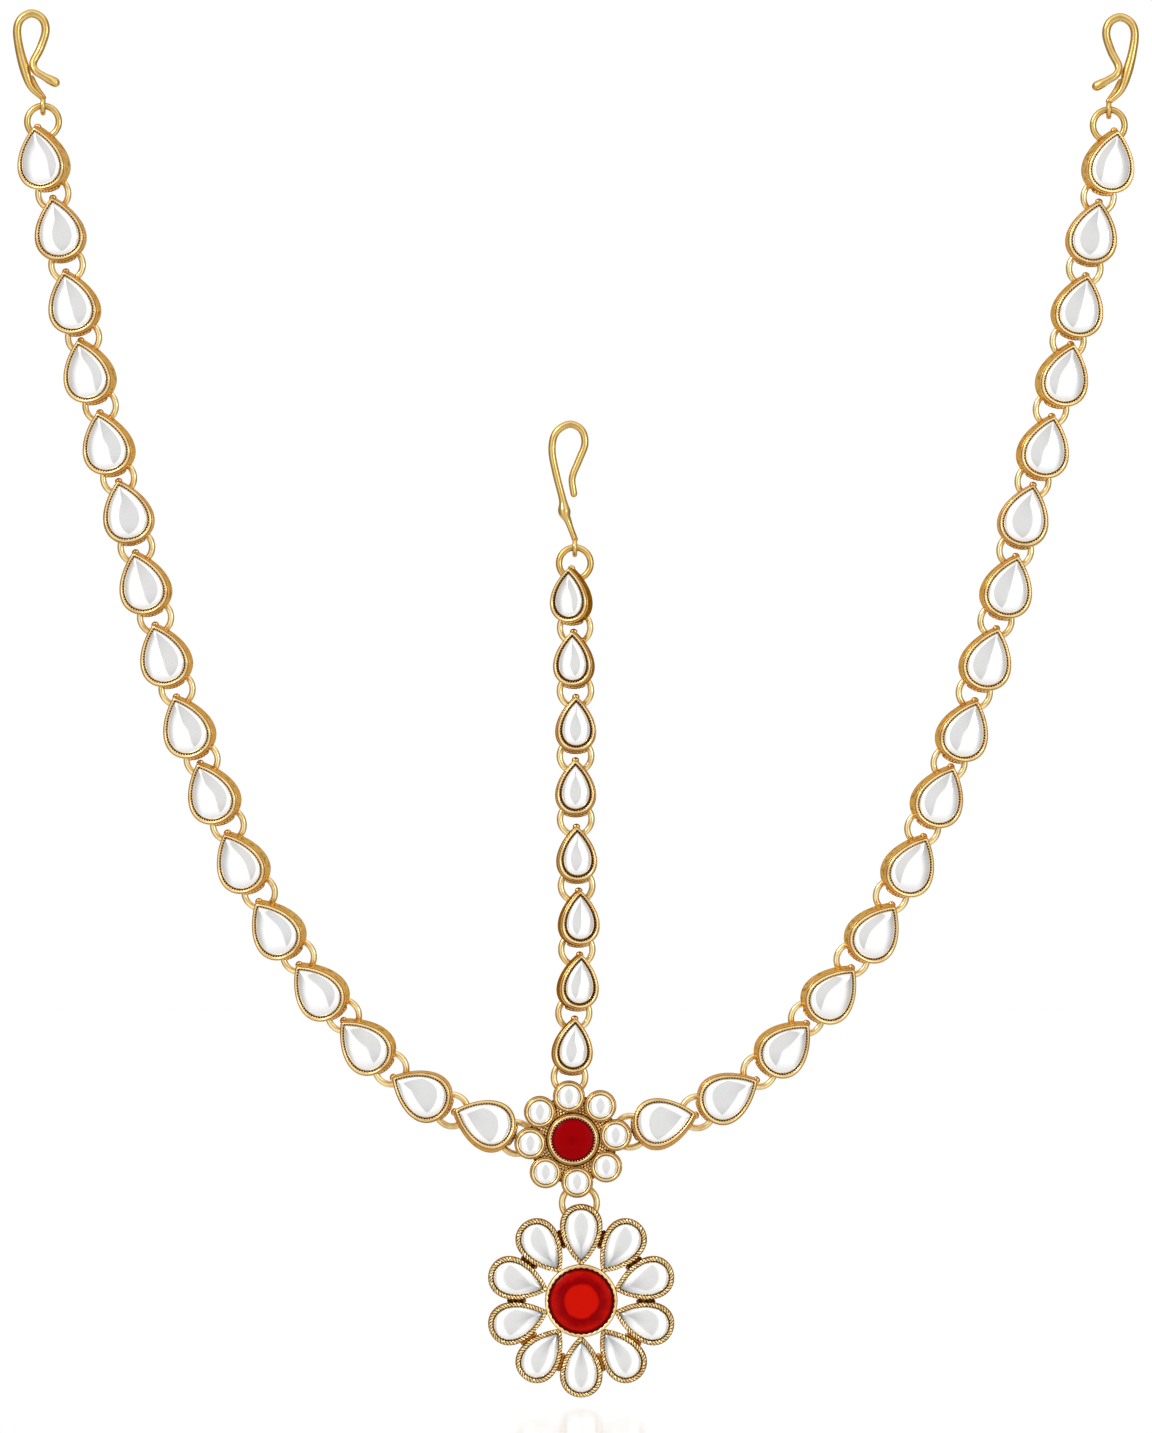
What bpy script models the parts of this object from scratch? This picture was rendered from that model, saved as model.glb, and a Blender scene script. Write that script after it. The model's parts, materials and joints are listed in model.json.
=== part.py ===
"""A matha patti, an Indian head jewel, hanging as it is worn and stored.

Two arms of drop-shaped stone links meet in a small flower, a shorter centre chain comes down to the same
flower, and a round pendant hangs below it. Each chain ends in a bent wire hook.

Metres, +Z up, the stones facing -Y. The origin is the underside of the centre hook's crook, where it hangs.
All jump rings lie in the plane Y = 0, and every cup's back is in front of that plane.
"""

import math
from typing import NamedTuple

import bmesh
import bpy
from mathutils import Matrix, Vector

# Clearances
CLEARANCE = 0.0003
STONE_GAP = 0.0002
TURNING_ROOM = 0.0003
LOOP_PLAY = 0.00035

# Wires
RING_WIRE = 0.00085
LOOP_WIRE = 0.0006
EYE_WIRE = 0.0008
HOOK_WIRE = 0.00115

# Jump rings, across the middle of the wire
RING_DIAMETER = 0.0049
PENDANT_RING_DIAMETER = 0.0054

# Drop links of the two arms
SIDE_CUP_LENGTH = 0.0102
SIDE_CUP_WIDTH = 0.0080
SIDE_CUP_DEPTH = 0.0030
SIDE_STONE_LENGTH = 0.0086
SIDE_STONE_WIDTH = 0.0064
SIDE_LINK_GAP = 0.0011

# Drop links of the centre chain
CENTRE_CUP_LENGTH = 0.0088
CENTRE_CUP_WIDTH = 0.0064
CENTRE_CUP_DEPTH = 0.0028
CENTRE_STONE_LENGTH = 0.0071
CENTRE_STONE_WIDTH = 0.0047
CENTRE_LINK_GAP = 0.00115

# What every cup shares
CUP_FLARE = 0.00015
STONE_SEAT = 0.0002
STONE_RISE = 0.0007

# Flower
FLOWER_CUP_COUNT = 8
FLOWER_CUP_DIAMETER = 0.0050
FLOWER_CUP_CIRCLE = 0.0133
FLOWER_CUP_DEPTH = 0.0026
FLOWER_STONE_DIAMETER = 0.0036
FLOWER_PLATE_THICKNESS = 0.0009
FLOWER_RED_STONE_DIAMETER = 0.0066
FLOWER_RED_CUP_WALL = 0.00055
FLOWER_RED_CUP_DEPTH = 0.0030
FLOWER_TURN = math.radians(-5.5)
FLOWER_SIDE_GAP = 0.0006
FLOWER_TOP_GAP = 0.0012

# Pendant
PETAL_COUNT = 10
PETAL_LENGTH = 0.0096
PETAL_WIDTH = 0.0064
PETAL_DEPTH = 0.0024
PETAL_STONE_LENGTH = 0.0078
PETAL_STONE_WIDTH = 0.0050
PENDANT_RED_STONE_DIAMETER = 0.0100
PENDANT_RED_CUP_WALL = 0.00045
PENDANT_RED_CUP_DEPTH = 0.0029
PENDANT_GAP = 0.0009
PENDANT_RING_DROP = 0.0004
PENDANT_RING_SWAY = math.radians(6.0)
TIP_SINK = 0.00025
SOLDER_WIRE = 0.0012

# Red stones
RED_SEAT_DEPTH = 0.0016
RED_STONE_THICKNESS = 0.0021
BACK_STEP = 0.00015

# Hooks, from the eye to the top of the crook, and the width of the bow
SIDE_HOOK_LENGTH = 0.0144
SIDE_HOOK_BOW = 0.0046
CENTRE_HOOK_LENGTH = 0.0191
CENTRE_HOOK_BOW = 0.0051
SOLDER_BEAD = 0.0020

# How finely round things are cut
PEAR_POINTS = 12
RING_SIDES = 10
RING_WIRE_SIDES = 5
EYE_SIDES = 8
POST_SIDES = 4
SOLDER_SIDES = 6
FLOWER_CUP_SIDES = 10
RED_STONE_SIDES = 16

# The widest half width of the pear formula sin(t) * sin(t / 2)
PEAR_PEAK = 4.0 / (3.0 * math.sqrt(3.0))

# A stone's dome: share of its outline, share of its rise
STONE_DOME = ((1.0, 0.0), (0.62, 0.74))
DOME_SHIFT = 0.18

# A loop on a cup's back: share of its half length, share of its rise
LOOP_ARCH = ((-1.0, 0.0), (-0.75, 1.06), (0.75, 1.06), (1.0, 0.0))

# Wire of a hook from its tail to its stem: across and up from the eye, as shares of bow and length,
# and the wire's thickness as a share of the hook wire
SIDE_HOOK_SHAPE = (
    (0.45, 0.242, 0.9),
    (0.10, 0.295, 0.9),
    (-0.20, 0.37, 0.95),
    (-0.24, 0.473, 1.0),
    (-0.05, 0.623, 1.0),
    (0.107, 0.806, 1.0),
    (-0.017, 0.94, 1.0),
    (-0.385, 1.0, 1.0),
    (-0.753, 0.94, 1.0),
    (-0.893, 0.816, 1.0),
    (-0.81, 0.612, 1.05),
    (-0.62, 0.387, 1.1),
    (-0.41, 0.204, 0.95),
)
CENTRE_HOOK_SHAPE = (
    (-0.03, 0.435, 0.95),
    (-0.08, 0.565, 0.95),
    (0.12, 0.705, 1.0),
    (0.305, 0.841, 1.0),
    (0.20, 0.955, 1.0),
    (-0.177, 1.0, 1.0),
    (-0.58, 0.93, 1.0),
    (-0.695, 0.79, 1.0),
    (-0.57, 0.60, 1.0),
    (-0.37, 0.39, 1.0),
    (-0.21, 0.21, 0.9),
)
BEARING_SHARE = -0.177
BEAD_PLACE = (-0.315, 0.295)

# Links of an arm from the hook down: where the ring sits in its loop, as a share of the play,
# and how far the face turns outwards
ARM_LINKS = (
    (0.0, 9.0),
    (0.9, 2.0),
    (-1.0, 5.0),
    (0.8, 8.0),
    (-0.6, 6.0),
    (0.2, 1.0),
    (1.0, 5.0),
    (1.0, 5.0),
    (-1.0, 6.0),
    (0.9, 7.0),
    (1.0, 9.0),
    (0.8, 9.0),
    (-0.6, 9.0),
    (1.0, 7.0),
    (-1.0, 2.0),
    (-0.8, -7.0),
)

# Links of the centre chain from the hook down: the same share, the face's turn to the right,
# and the lean of the link to the right
CENTRE_LINKS = (
    (-0.4, -9.0, 0.3),
    (0.4, -4.0, 0.3),
    (-0.4, 1.0, 0.0),
    (1.0, 0.0, 0.3),
    (-0.2, 2.0, 0.9),
    (-0.2, 5.0, 0.0),
    (0.0, 6.0, -3.6),
    (-0.4, 3.0, -3.9),
)

# Route of the left arm, chosen points across and up from the flower's centre
ARM_ROUTE = (
    (-0.0164, 0.0029),
    (-0.0260, 0.0081),
    (-0.0344, 0.0171),
    (-0.0413, 0.0257),
    (-0.0477, 0.0354),
    (-0.0529, 0.0462),
    (-0.0611, 0.0672),
    (-0.0677, 0.0899),
    (-0.0732, 0.1116),
    (-0.0784, 0.1328),
    (-0.0827, 0.1555),
)
# The arms hang evenly about a line this far right of the flower's centre
ARMS_SHIFT = 0.0005
ROUTE_STEPS = 12
HOOK_STEPS = 2

# Worked out from the sizes above
STANDOFF = RING_WIRE / 2 + CLEARANCE + TURNING_ROOM
BACK = -STANDOFF
EYE_RADIUS = RING_WIRE / 2 + CLEARANCE + EYE_WIRE / 2
FLOWER_OUTER = (FLOWER_CUP_CIRCLE + FLOWER_CUP_DIAMETER) / 2
PENDANT_RED_CUP_RADIUS = PENDANT_RED_STONE_DIAMETER / 2 + STONE_GAP + PENDANT_RED_CUP_WALL
PETAL_TIP_RADIUS = PENDANT_RED_CUP_RADIUS - TIP_SINK
PENDANT_OUTER = PETAL_TIP_RADIUS + PETAL_LENGTH
PENDANT_RING_INSET = (PENDANT_RING_DIAMETER - PENDANT_GAP) / 2


class Drop(NamedTuple):
    """A pear-shaped cup and its stone."""

    length: float
    width: float
    depth: float
    stone_length: float
    stone_width: float


class Chain(NamedTuple):
    """A kind of drop link: its drop, its loop's inset from the tip, and its pitch."""

    drop: Drop
    gap: float
    inset: float
    pitch: float


def chain_of(drop, gap):
    inset = (RING_DIAMETER - gap) / 2
    return Chain(drop, gap, inset, drop.length + gap)


SIDE = chain_of(
    Drop(SIDE_CUP_LENGTH, SIDE_CUP_WIDTH, SIDE_CUP_DEPTH, SIDE_STONE_LENGTH, SIDE_STONE_WIDTH),
    SIDE_LINK_GAP,
)
CENTRE = chain_of(
    Drop(CENTRE_CUP_LENGTH, CENTRE_CUP_WIDTH, CENTRE_CUP_DEPTH, CENTRE_STONE_LENGTH, CENTRE_STONE_WIDTH),
    CENTRE_LINK_GAP,
)
PETAL = Drop(PETAL_LENGTH, PETAL_WIDTH, PETAL_DEPTH, PETAL_STONE_LENGTH, PETAL_STONE_WIDTH)


# Scene and materials


def clear_scene():
    for item in list(bpy.data.objects):
        bpy.data.objects.remove(item, do_unlink=True)


def new_collection(name):
    collection = bpy.data.collections.new(name)
    bpy.context.scene.collection.children.link(collection)
    return collection


def new_material(name, colour, metallic, roughness):
    material = bpy.data.materials.new(name)
    material.use_nodes = True
    shader = material.node_tree.nodes["Principled BSDF"]
    shader.inputs["Base Color"].default_value = (*colour, 1.0)
    shader.inputs["Metallic"].default_value = metallic
    shader.inputs["Roughness"].default_value = roughness
    return material


# Curves and points


def smooth_path(points, steps):
    """A smooth curve through the points, with a number of steps between each two."""
    ends = [2 * points[0] - points[1], *points, 2 * points[-1] - points[-2]]
    path = []
    for i in range(1, len(ends) - 2):
        before, start, end, after = ends[i - 1 : i + 3]
        for k in range(steps):
            t = k / steps
            path.append(
                (
                    2 * start
                    + (end - before) * t
                    + (2 * before - 5 * start + 4 * end - after) * t**2
                    + (3 * start - before - 3 * end + after) * t**3
                )
                / 2
            )
    path.append(points[-1].copy())
    return path


def step_along(path, start, distance):
    """The first point of the path, run on past its end, at a straight distance from the start."""
    run_on = path[-1] + (path[-1] - path[-2]).normalized() * 2 * distance
    for near, far in zip(path, [*path[1:], run_on]):
        if (far - start).length < distance:
            continue
        along, out = far - near, near - start
        a, b, c = along.dot(along), 2 * out.dot(along), out.dot(out) - distance**2
        if c > 0:
            continue
        return near + along * ((-b + math.sqrt(b * b - 4 * a * c)) / (2 * a))
    raise ValueError("The route has no point at that distance.")


def pear_ring(length, width, middle, depth):
    """An outline of a pear, tip up, its middle at the height given, at one depth."""
    ring = []
    for i in range(PEAR_POINTS):
        t = 2 * math.pi * i / PEAR_POINTS
        across = width / 2 * math.sin(t) * math.sin(t / 2) / PEAR_PEAK
        ring.append(Vector((across, depth, middle + length / 2 * math.cos(t))))
    return ring


# Meshes


def finished(work, name):
    """The mesh of a bmesh whose faces point outwards."""
    bmesh.ops.recalc_face_normals(work, faces=work.faces)
    mesh = bpy.data.meshes.new(name)
    work.to_mesh(mesh)
    work.free()
    return mesh


def drop_mesh(drop, name):
    """A pear cup with its stone, one solid: its tip at the origin, its body below, its back at BACK."""
    middle = -drop.length / 2
    rim = BACK - drop.depth
    rings = [
        pear_ring(drop.length, drop.width, middle, BACK),
        pear_ring(drop.length - 2 * CUP_FLARE, drop.width - 2 * CUP_FLARE, middle, rim),
    ]
    shift = -DOME_SHIFT * drop.stone_length
    for share, rise in STONE_DOME:
        rings.append(
            pear_ring(
                drop.stone_length * share,
                drop.stone_width * share,
                middle + shift * (1 - share),
                rim + STONE_SEAT - (STONE_SEAT + STONE_RISE) * rise,
            )
        )
    work = bmesh.new()
    loops = [[work.verts.new(point) for point in ring] for ring in rings]
    work.faces.new(loops[0])
    for row, (lower, upper) in enumerate(zip(loops, loops[1:])):
        for i in range(PEAR_POINTS):
            j = (i + 1) % PEAR_POINTS
            face = work.faces.new((lower[i], lower[j], upper[j], upper[i]))
            face.material_index = int(row >= 2)
    top = work.verts.new((0, rim - STONE_RISE, middle + shift))
    for i in range(PEAR_POINTS):
        face = work.faces.new((loops[-1][i], loops[-1][(i + 1) % PEAR_POINTS], top))
        face.material_index = 1
    return finished(work, name)


def turned_mesh(profile, sides, name, stone_from=None):
    """A turned solid facing -Y: the profile gives radius and height from its front middle to its back middle."""
    line = bpy.data.meshes.new(name)
    points = [(radius, 0, height) for radius, height in profile]
    line.from_pydata(points, [(i, i + 1) for i in range(len(points) - 1)], [])
    holder = bpy.data.objects.new(name, line)
    bpy.context.scene.collection.objects.link(holder)
    screw = holder.modifiers.new("Turn", "SCREW")
    screw.steps = sides
    screw.render_steps = sides
    screw.use_merge_vertices = True
    screw.merge_threshold = 0.000001
    mesh = evaluated_mesh(holder, name)
    work = bmesh.new()
    work.from_mesh(mesh)
    bmesh.ops.remove_doubles(work, verts=work.verts, dist=0.000001)
    if stone_from is not None:
        for face in work.faces:
            middle = face.calc_center_median()
            face.material_index = int(middle.z > stone_from[1] and middle.xy.length < stone_from[0])
    bmesh.ops.rotate(work, verts=work.verts, matrix=Matrix.Rotation(math.pi / 2, 3, "X"))
    return finished(work, name)


def wire_mesh(points, thickness, name, shares=None):
    """A six-sided wire along the points, with closed ends."""
    curve = bpy.data.curves.new(name, "CURVE")
    curve.dimensions = "3D"
    curve.bevel_depth = thickness / 2
    curve.bevel_resolution = 1
    curve.use_fill_caps = True
    curve.twist_mode = "Z_UP"
    spline = curve.splines.new("POLY")
    spline.points.add(len(points) - 1)
    for i, point in enumerate(points):
        spline.points[i].co = (*point, 1)
        spline.points[i].radius = shares[i] if shares else 1
    holder = bpy.data.objects.new(name, curve)
    bpy.context.scene.collection.objects.link(holder)
    mesh = evaluated_mesh(holder, name)
    bpy.data.curves.remove(curve)
    work = bmesh.new()
    work.from_mesh(mesh)
    bmesh.ops.remove_doubles(work, verts=work.verts, dist=0.000001)
    return finished(work, name)


def torus_mesh(diameter, wire, sides, wire_sides, name):
    """A round ring in the XZ plane with a corner at its top and bottom."""
    bpy.ops.mesh.primitive_torus_add(
        major_segments=sides,
        minor_segments=wire_sides,
        major_radius=diameter / 2,
        minor_radius=wire / 2,
    )
    holder = bpy.context.object
    turn = Matrix.Rotation(math.pi / 2, 4, "X") @ Matrix.Rotation(math.pi / 2, 4, "Z")
    holder.data.transform(turn)
    mesh = evaluated_mesh(holder, name)
    return mesh


def post_mesh(radius, start, end, sides, name):
    """A straight round post between two points."""
    work = bmesh.new()
    length = (end - start).length
    bmesh.ops.create_cone(
        work, cap_ends=True, segments=sides, radius1=radius, radius2=radius, depth=length
    )
    turn = (end - start).to_track_quat("Z", "Y").to_matrix().to_4x4()
    place = Matrix.Translation((start + end) / 2) @ turn
    bmesh.ops.transform(work, matrix=place, verts=work.verts)
    return finished(work, name)


def evaluated_mesh(holder, name):
    """The mesh that an object shows, kept while the object goes."""
    bpy.context.view_layer.update()
    shown = holder.evaluated_get(bpy.context.evaluated_depsgraph_get())
    mesh = bpy.data.meshes.new_from_object(shown)
    mesh.name = name
    bpy.data.objects.remove(holder, do_unlink=True)
    return mesh


def moved(mesh, matrix):
    copy = mesh.copy()
    copy.transform(matrix)
    return copy


def fused(meshes, materials, name):
    """One closed mesh from solids that overlap, as soldered metal is one solid."""
    holders = []
    for mesh in meshes:
        mesh.materials.clear()
        for material in materials:
            mesh.materials.append(material)
        holder = bpy.data.objects.new(name, mesh)
        bpy.context.scene.collection.objects.link(holder)
        holders.append(holder)
    base, tools = holders[0], holders[1:]
    for tool in tools:
        union = base.modifiers.new("Solder", "BOOLEAN")
        union.operation = "UNION"
        union.solver = "EXACT"
        union.object = tool
    mesh = evaluated_mesh(base, name)
    for tool in tools:
        bpy.data.objects.remove(tool, do_unlink=True)
    work = bmesh.new()
    work.from_mesh(mesh)
    bmesh.ops.remove_doubles(work, verts=work.verts, dist=0.000001)
    bmesh.ops.dissolve_degenerate(work, edges=work.edges, dist=0.000001)
    bmesh.ops.triangulate(work, faces=work.faces)
    work.to_mesh(mesh)
    work.free()
    return mesh


def loop_mesh(wire_through, name):
    """A wire loop soldered on a back, round a ring's wire that runs across at the origin."""
    half = wire_through / 2 + LOOP_PLAY + CLEARANCE + LOOP_WIRE / 2
    rise = wire_through / 2 + CLEARANCE + LOOP_WIRE / 2
    sunk = BACK - LOOP_WIRE
    points = [Vector((0, sunk + (rise - sunk) * up, half * along)) for along, up in LOOP_ARCH]
    return wire_mesh(points, LOOP_WIRE, name)


# Pieces


def link_mesh(chain, materials, name):
    """A drop link: cup, stone, the loop behind its tip, and its own ring on a post behind its round end."""
    ring_middle = -(chain.pitch - RING_DIAMETER / 2)
    near_wire = -(chain.pitch - RING_DIAMETER)
    drop = moved(drop_mesh(chain.drop, name), Matrix.Translation((0, 0, chain.inset)))
    ring = torus_mesh(RING_DIAMETER, RING_WIRE, RING_SIDES, RING_WIRE_SIDES, name)
    post = post_mesh(
        LOOP_WIRE / 2,
        Vector((0, BACK - LOOP_WIRE, near_wire)),
        Vector((0, 0, near_wire)),
        POST_SIDES,
        name,
    )
    solids = [
        drop,
        loop_mesh(RING_WIRE, name),
        post,
        moved(ring, Matrix.Translation((0, 0, ring_middle))),
    ]
    return fused(solids, materials, name)


def hook_mesh(shape, length, bow, bead, side, materials, name):
    """A wire hook, its closed eye round a ring's wire at the origin, its crook above."""
    rows = [(side * across * bow, up * length, share) for across, up, share in shape]
    rows.append((0, EYE_RADIUS, EYE_WIRE / HOOK_WIRE))
    knots = [Vector((x, 0, z)) for x, z, _ in rows]
    path = smooth_path(knots, HOOK_STEPS)
    widths = smooth_path([Vector((share, 0, 0)) for _, _, share in rows], HOOK_STEPS)
    wire = wire_mesh(path, HOOK_WIRE, name, [width.x for width in widths])
    eye = torus_mesh(2 * EYE_RADIUS, EYE_WIRE, EYE_SIDES, RING_WIRE_SIDES, name)
    solids = [wire, moved(eye, Matrix.Rotation(math.pi / 2, 4, "Z"))]
    if bead:
        work = bmesh.new()
        bmesh.ops.create_icosphere(work, subdivisions=1, radius=SOLDER_BEAD / 2)
        bmesh.ops.scale(work, vec=(0.9, 0.9, 1.5), verts=work.verts)
        place = Vector((side * bead[0] * bow, 0, bead[1] * length))
        bmesh.ops.translate(work, vec=place, verts=work.verts)
        solids.append(finished(work, name))
    return fused(solids, materials, name)


def red_cup_mesh(stone_diameter, wall, depth, sides, name):
    """A round cup with an open seat for a red stone, its back a step behind the other backs."""
    seat = stone_diameter / 2 + STONE_GAP
    outer = seat + wall
    back, rim = STANDOFF - BACK_STEP, STANDOFF + depth
    profile = (
        (0, rim - RED_SEAT_DEPTH),
        (seat, rim - RED_SEAT_DEPTH),
        (seat, rim),
        (outer - CUP_FLARE, rim),
        (outer, back),
        (0, back),
    )
    return turned_mesh(profile, sides, name)


def flower_cup_mesh(name):
    """A small round cup with its stone, one solid."""
    outer, stone = FLOWER_CUP_DIAMETER / 2, FLOWER_STONE_DIAMETER / 2
    rim = STANDOFF + FLOWER_CUP_DEPTH
    seat = rim - STONE_SEAT
    profile = [(0, seat + STONE_SEAT + STONE_RISE)]
    for share, rise in reversed(STONE_DOME):
        profile.append((stone * share, seat + (STONE_SEAT + STONE_RISE) * rise))
    profile += [(outer - CUP_FLARE, rim), (outer, STANDOFF), (0, STANDOFF)]
    return turned_mesh(profile, FLOWER_CUP_SIDES, name, (stone, seat))


def flower_mesh(loops, materials, name):
    """The flower: a plate, its ring of round stones, the red stone's cup, and a loop for each chain."""
    circle = FLOWER_CUP_CIRCLE / 2
    front = BACK - BACK_STEP - FLOWER_PLATE_THICKNESS
    plate = post_mesh(
        circle, Vector((0, BACK - BACK_STEP, 0)), Vector((0, front, 0)), FLOWER_CUP_COUNT, name
    )
    red_cup = red_cup_mesh(
        FLOWER_RED_STONE_DIAMETER, FLOWER_RED_CUP_WALL, FLOWER_RED_CUP_DEPTH, 2 * FLOWER_CUP_COUNT, name
    )
    solids = [plate, red_cup]
    cup = flower_cup_mesh(name)
    for i in range(FLOWER_CUP_COUNT):
        turn = Matrix.Rotation(2 * math.pi * i / FLOWER_CUP_COUNT, 4, "Y")
        solids.append(moved(cup, turn @ Matrix.Translation((0, 0, circle))))
    for angle, radius, wire in loops:
        turn = Matrix.Rotation(angle, 4, "Y")
        solids.append(moved(loop_mesh(wire, name), turn @ Matrix.Translation((0, 0, radius))))
    return fused(solids, materials, name)


def pendant_mesh(hinge_radius, materials, name):
    """The pendant about its loop: ten drop petals soldered round the red stone's cup and to each other."""
    to_middle = Matrix.Translation((0, 0, -hinge_radius))
    cup = red_cup_mesh(
        PENDANT_RED_STONE_DIAMETER, PENDANT_RED_CUP_WALL, PENDANT_RED_CUP_DEPTH, 2 * PETAL_COUNT, name
    )
    solids = [moved(cup, to_middle)]
    petal = drop_mesh(PETAL, name)
    tip_down = Matrix.Rotation(math.pi, 4, "Y")
    solder_radius = PETAL_TIP_RADIUS + PETAL_LENGTH / 2
    half_step = math.pi / PETAL_COUNT
    reach = solder_radius * math.sin(half_step)
    solder_depth = BACK - PETAL_DEPTH / 2
    solder = post_mesh(
        SOLDER_WIRE / 2,
        Vector((-reach / 2, solder_depth, 0)),
        Vector((reach / 2, solder_depth, 0)),
        SOLDER_SIDES,
        name,
    )
    for i in range(PETAL_COUNT):
        turn = to_middle @ Matrix.Rotation(2 * half_step * i, 4, "Y")
        between = turn @ Matrix.Rotation(half_step, 4, "Y")
        solids.append(moved(petal, turn @ Matrix.Translation((0, 0, PETAL_TIP_RADIUS)) @ tip_down))
        solids.append(moved(solder, between @ Matrix.Translation((0, 0, solder_radius))))
    solids.append(loop_mesh(RING_WIRE, name))
    return fused(solids, materials, name)


def domed_stone_mesh(diameter, rim, name):
    """A smooth red stone with a small flat top, standing in its seat."""
    radius, floor = diameter / 2, rim - RED_SEAT_DEPTH + STONE_GAP
    top = floor + RED_STONE_THICKNESS
    profile = (
        (0, top),
        (radius * 0.45, top),
        (radius * 0.85, floor + (top - floor) * 0.84),
        (radius, floor + (top - floor) * 0.6),
        (radius, floor),
        (0, floor),
    )
    return turned_mesh(profile, RED_STONE_SIDES, name)


def cut_stone_mesh(diameter, rim, name):
    """A red stone cut with an eight-sided table, eight main facets and sixteen small ones at its edge."""
    radius, floor = diameter / 2, rim - RED_SEAT_DEPTH + STONE_GAP
    top = floor + RED_STONE_THICKNESS
    work = bmesh.new()
    body = turned_mesh(((0, top), (radius, top), (radius, floor), (0, floor)), RED_STONE_SIDES, name)
    work.from_mesh(body)
    tiers = ((16, 0.0, 0.93, 48.0), (8, 0.5, 0.56, 24.0))
    for count, offset, share, slope in tiers:
        for i in range(count):
            angle = 2 * math.pi * (i + offset) / count
            out = Vector((math.sin(angle), 0, math.cos(angle)))
            steep = math.radians(slope)
            normal = out * math.sin(steep) + Vector((0, -math.cos(steep), 0))
            point = out * radius * share + Vector((0, -top, 0))
            cut_flat(work, point, normal)
    return finished(work, name)


def cut_flat(work, point, normal):
    """Cuts a convex solid flat on a plane and closes the cut."""
    cut = bmesh.ops.bisect_plane(
        work,
        geom=[*work.verts, *work.edges, *work.faces],
        dist=0.0000001,
        plane_co=point,
        plane_no=normal,
        clear_outer=True,
    )
    edges = [item for item in cut["geom_cut"] if isinstance(item, bmesh.types.BMEdge)]
    bmesh.ops.edgeloop_fill(work, edges=edges)
    bmesh.ops.remove_doubles(work, verts=work.verts, dist=0.0000005)


# Places


def link_place(top, bottom, turn):
    """Where a link goes: its loop at the top point, its body towards the bottom one, its face turned."""
    down = (bottom - top).normalized()
    lean = math.atan2(-down.x, -down.z)
    return Matrix.Translation(top) @ Matrix.Rotation(lean, 4, "Y") @ Matrix.Rotation(turn, 4, "Z")


def add(name, mesh, place, collection):
    item = bpy.data.objects.new(name, mesh)
    item.location = place.to_translation()
    item.rotation_euler = place.to_euler()
    mesh.shade_smooth()
    mesh.set_sharp_from_angle(angle=math.radians(35))
    collection.objects.link(item)
    return item


def add_arm(label, side, start, flower_middle, parts, collection):
    """One arm, from the flower's loop up to its hook; the side is 1 on the left and -1 on the right."""
    route = [start]
    for across, up in ARM_ROUTE:
        route.append(flower_middle + Vector((side * across + ARMS_SHIFT, 0, up)))
    path = smooth_path(route, ROUTE_STEPS)
    bottom = start
    for number in range(len(ARM_LINKS), 0, -1):
        play, outward = ARM_LINKS[number - 1]
        top = step_along(path, bottom, SIDE.pitch + play * LOOP_PLAY)
        place = link_place(top, bottom, math.radians(-side * outward))
        add(f"{label}_link_{number:02d}", parts["side_link"], place, collection)
        bottom = top
    ring_middle = bottom + Vector((0, 0, RING_DIAMETER / 2))
    add(f"{label}_hook_ring", parts["ring"], Matrix.Translation(ring_middle), collection)
    eye = bottom + Vector((0, 0, RING_DIAMETER))
    add(f"{label}_hook", parts[f"{label}_hook"], Matrix.Translation(eye), collection)


def add_centre_chain(parts, collection):
    """The centre hook, its ring and the centre chain, down to the flower's top loop, which it returns."""
    crook = Vector((BEARING_SHARE * CENTRE_HOOK_BOW, 0, CENTRE_HOOK_LENGTH - HOOK_WIRE / 2))
    eye = -crook
    add("centre_hook", parts["centre_hook"], Matrix.Translation(eye), collection)
    ring_middle = eye - Vector((0, 0, RING_DIAMETER / 2))
    add("centre_hook_ring", parts["ring"], Matrix.Translation(ring_middle), collection)
    top = eye - Vector((0, 0, RING_DIAMETER))
    for number, (play, turn, lean) in enumerate(CENTRE_LINKS, 1):
        slope = math.radians(lean)
        step = CENTRE.pitch + play * LOOP_PLAY
        bottom = top + step * Vector((math.sin(slope), 0, -math.cos(slope)))
        place = link_place(top, bottom, math.radians(turn))
        add(f"centre_link_{number:02d}", parts["centre_link"], place, collection)
        top = bottom
    return top


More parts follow.
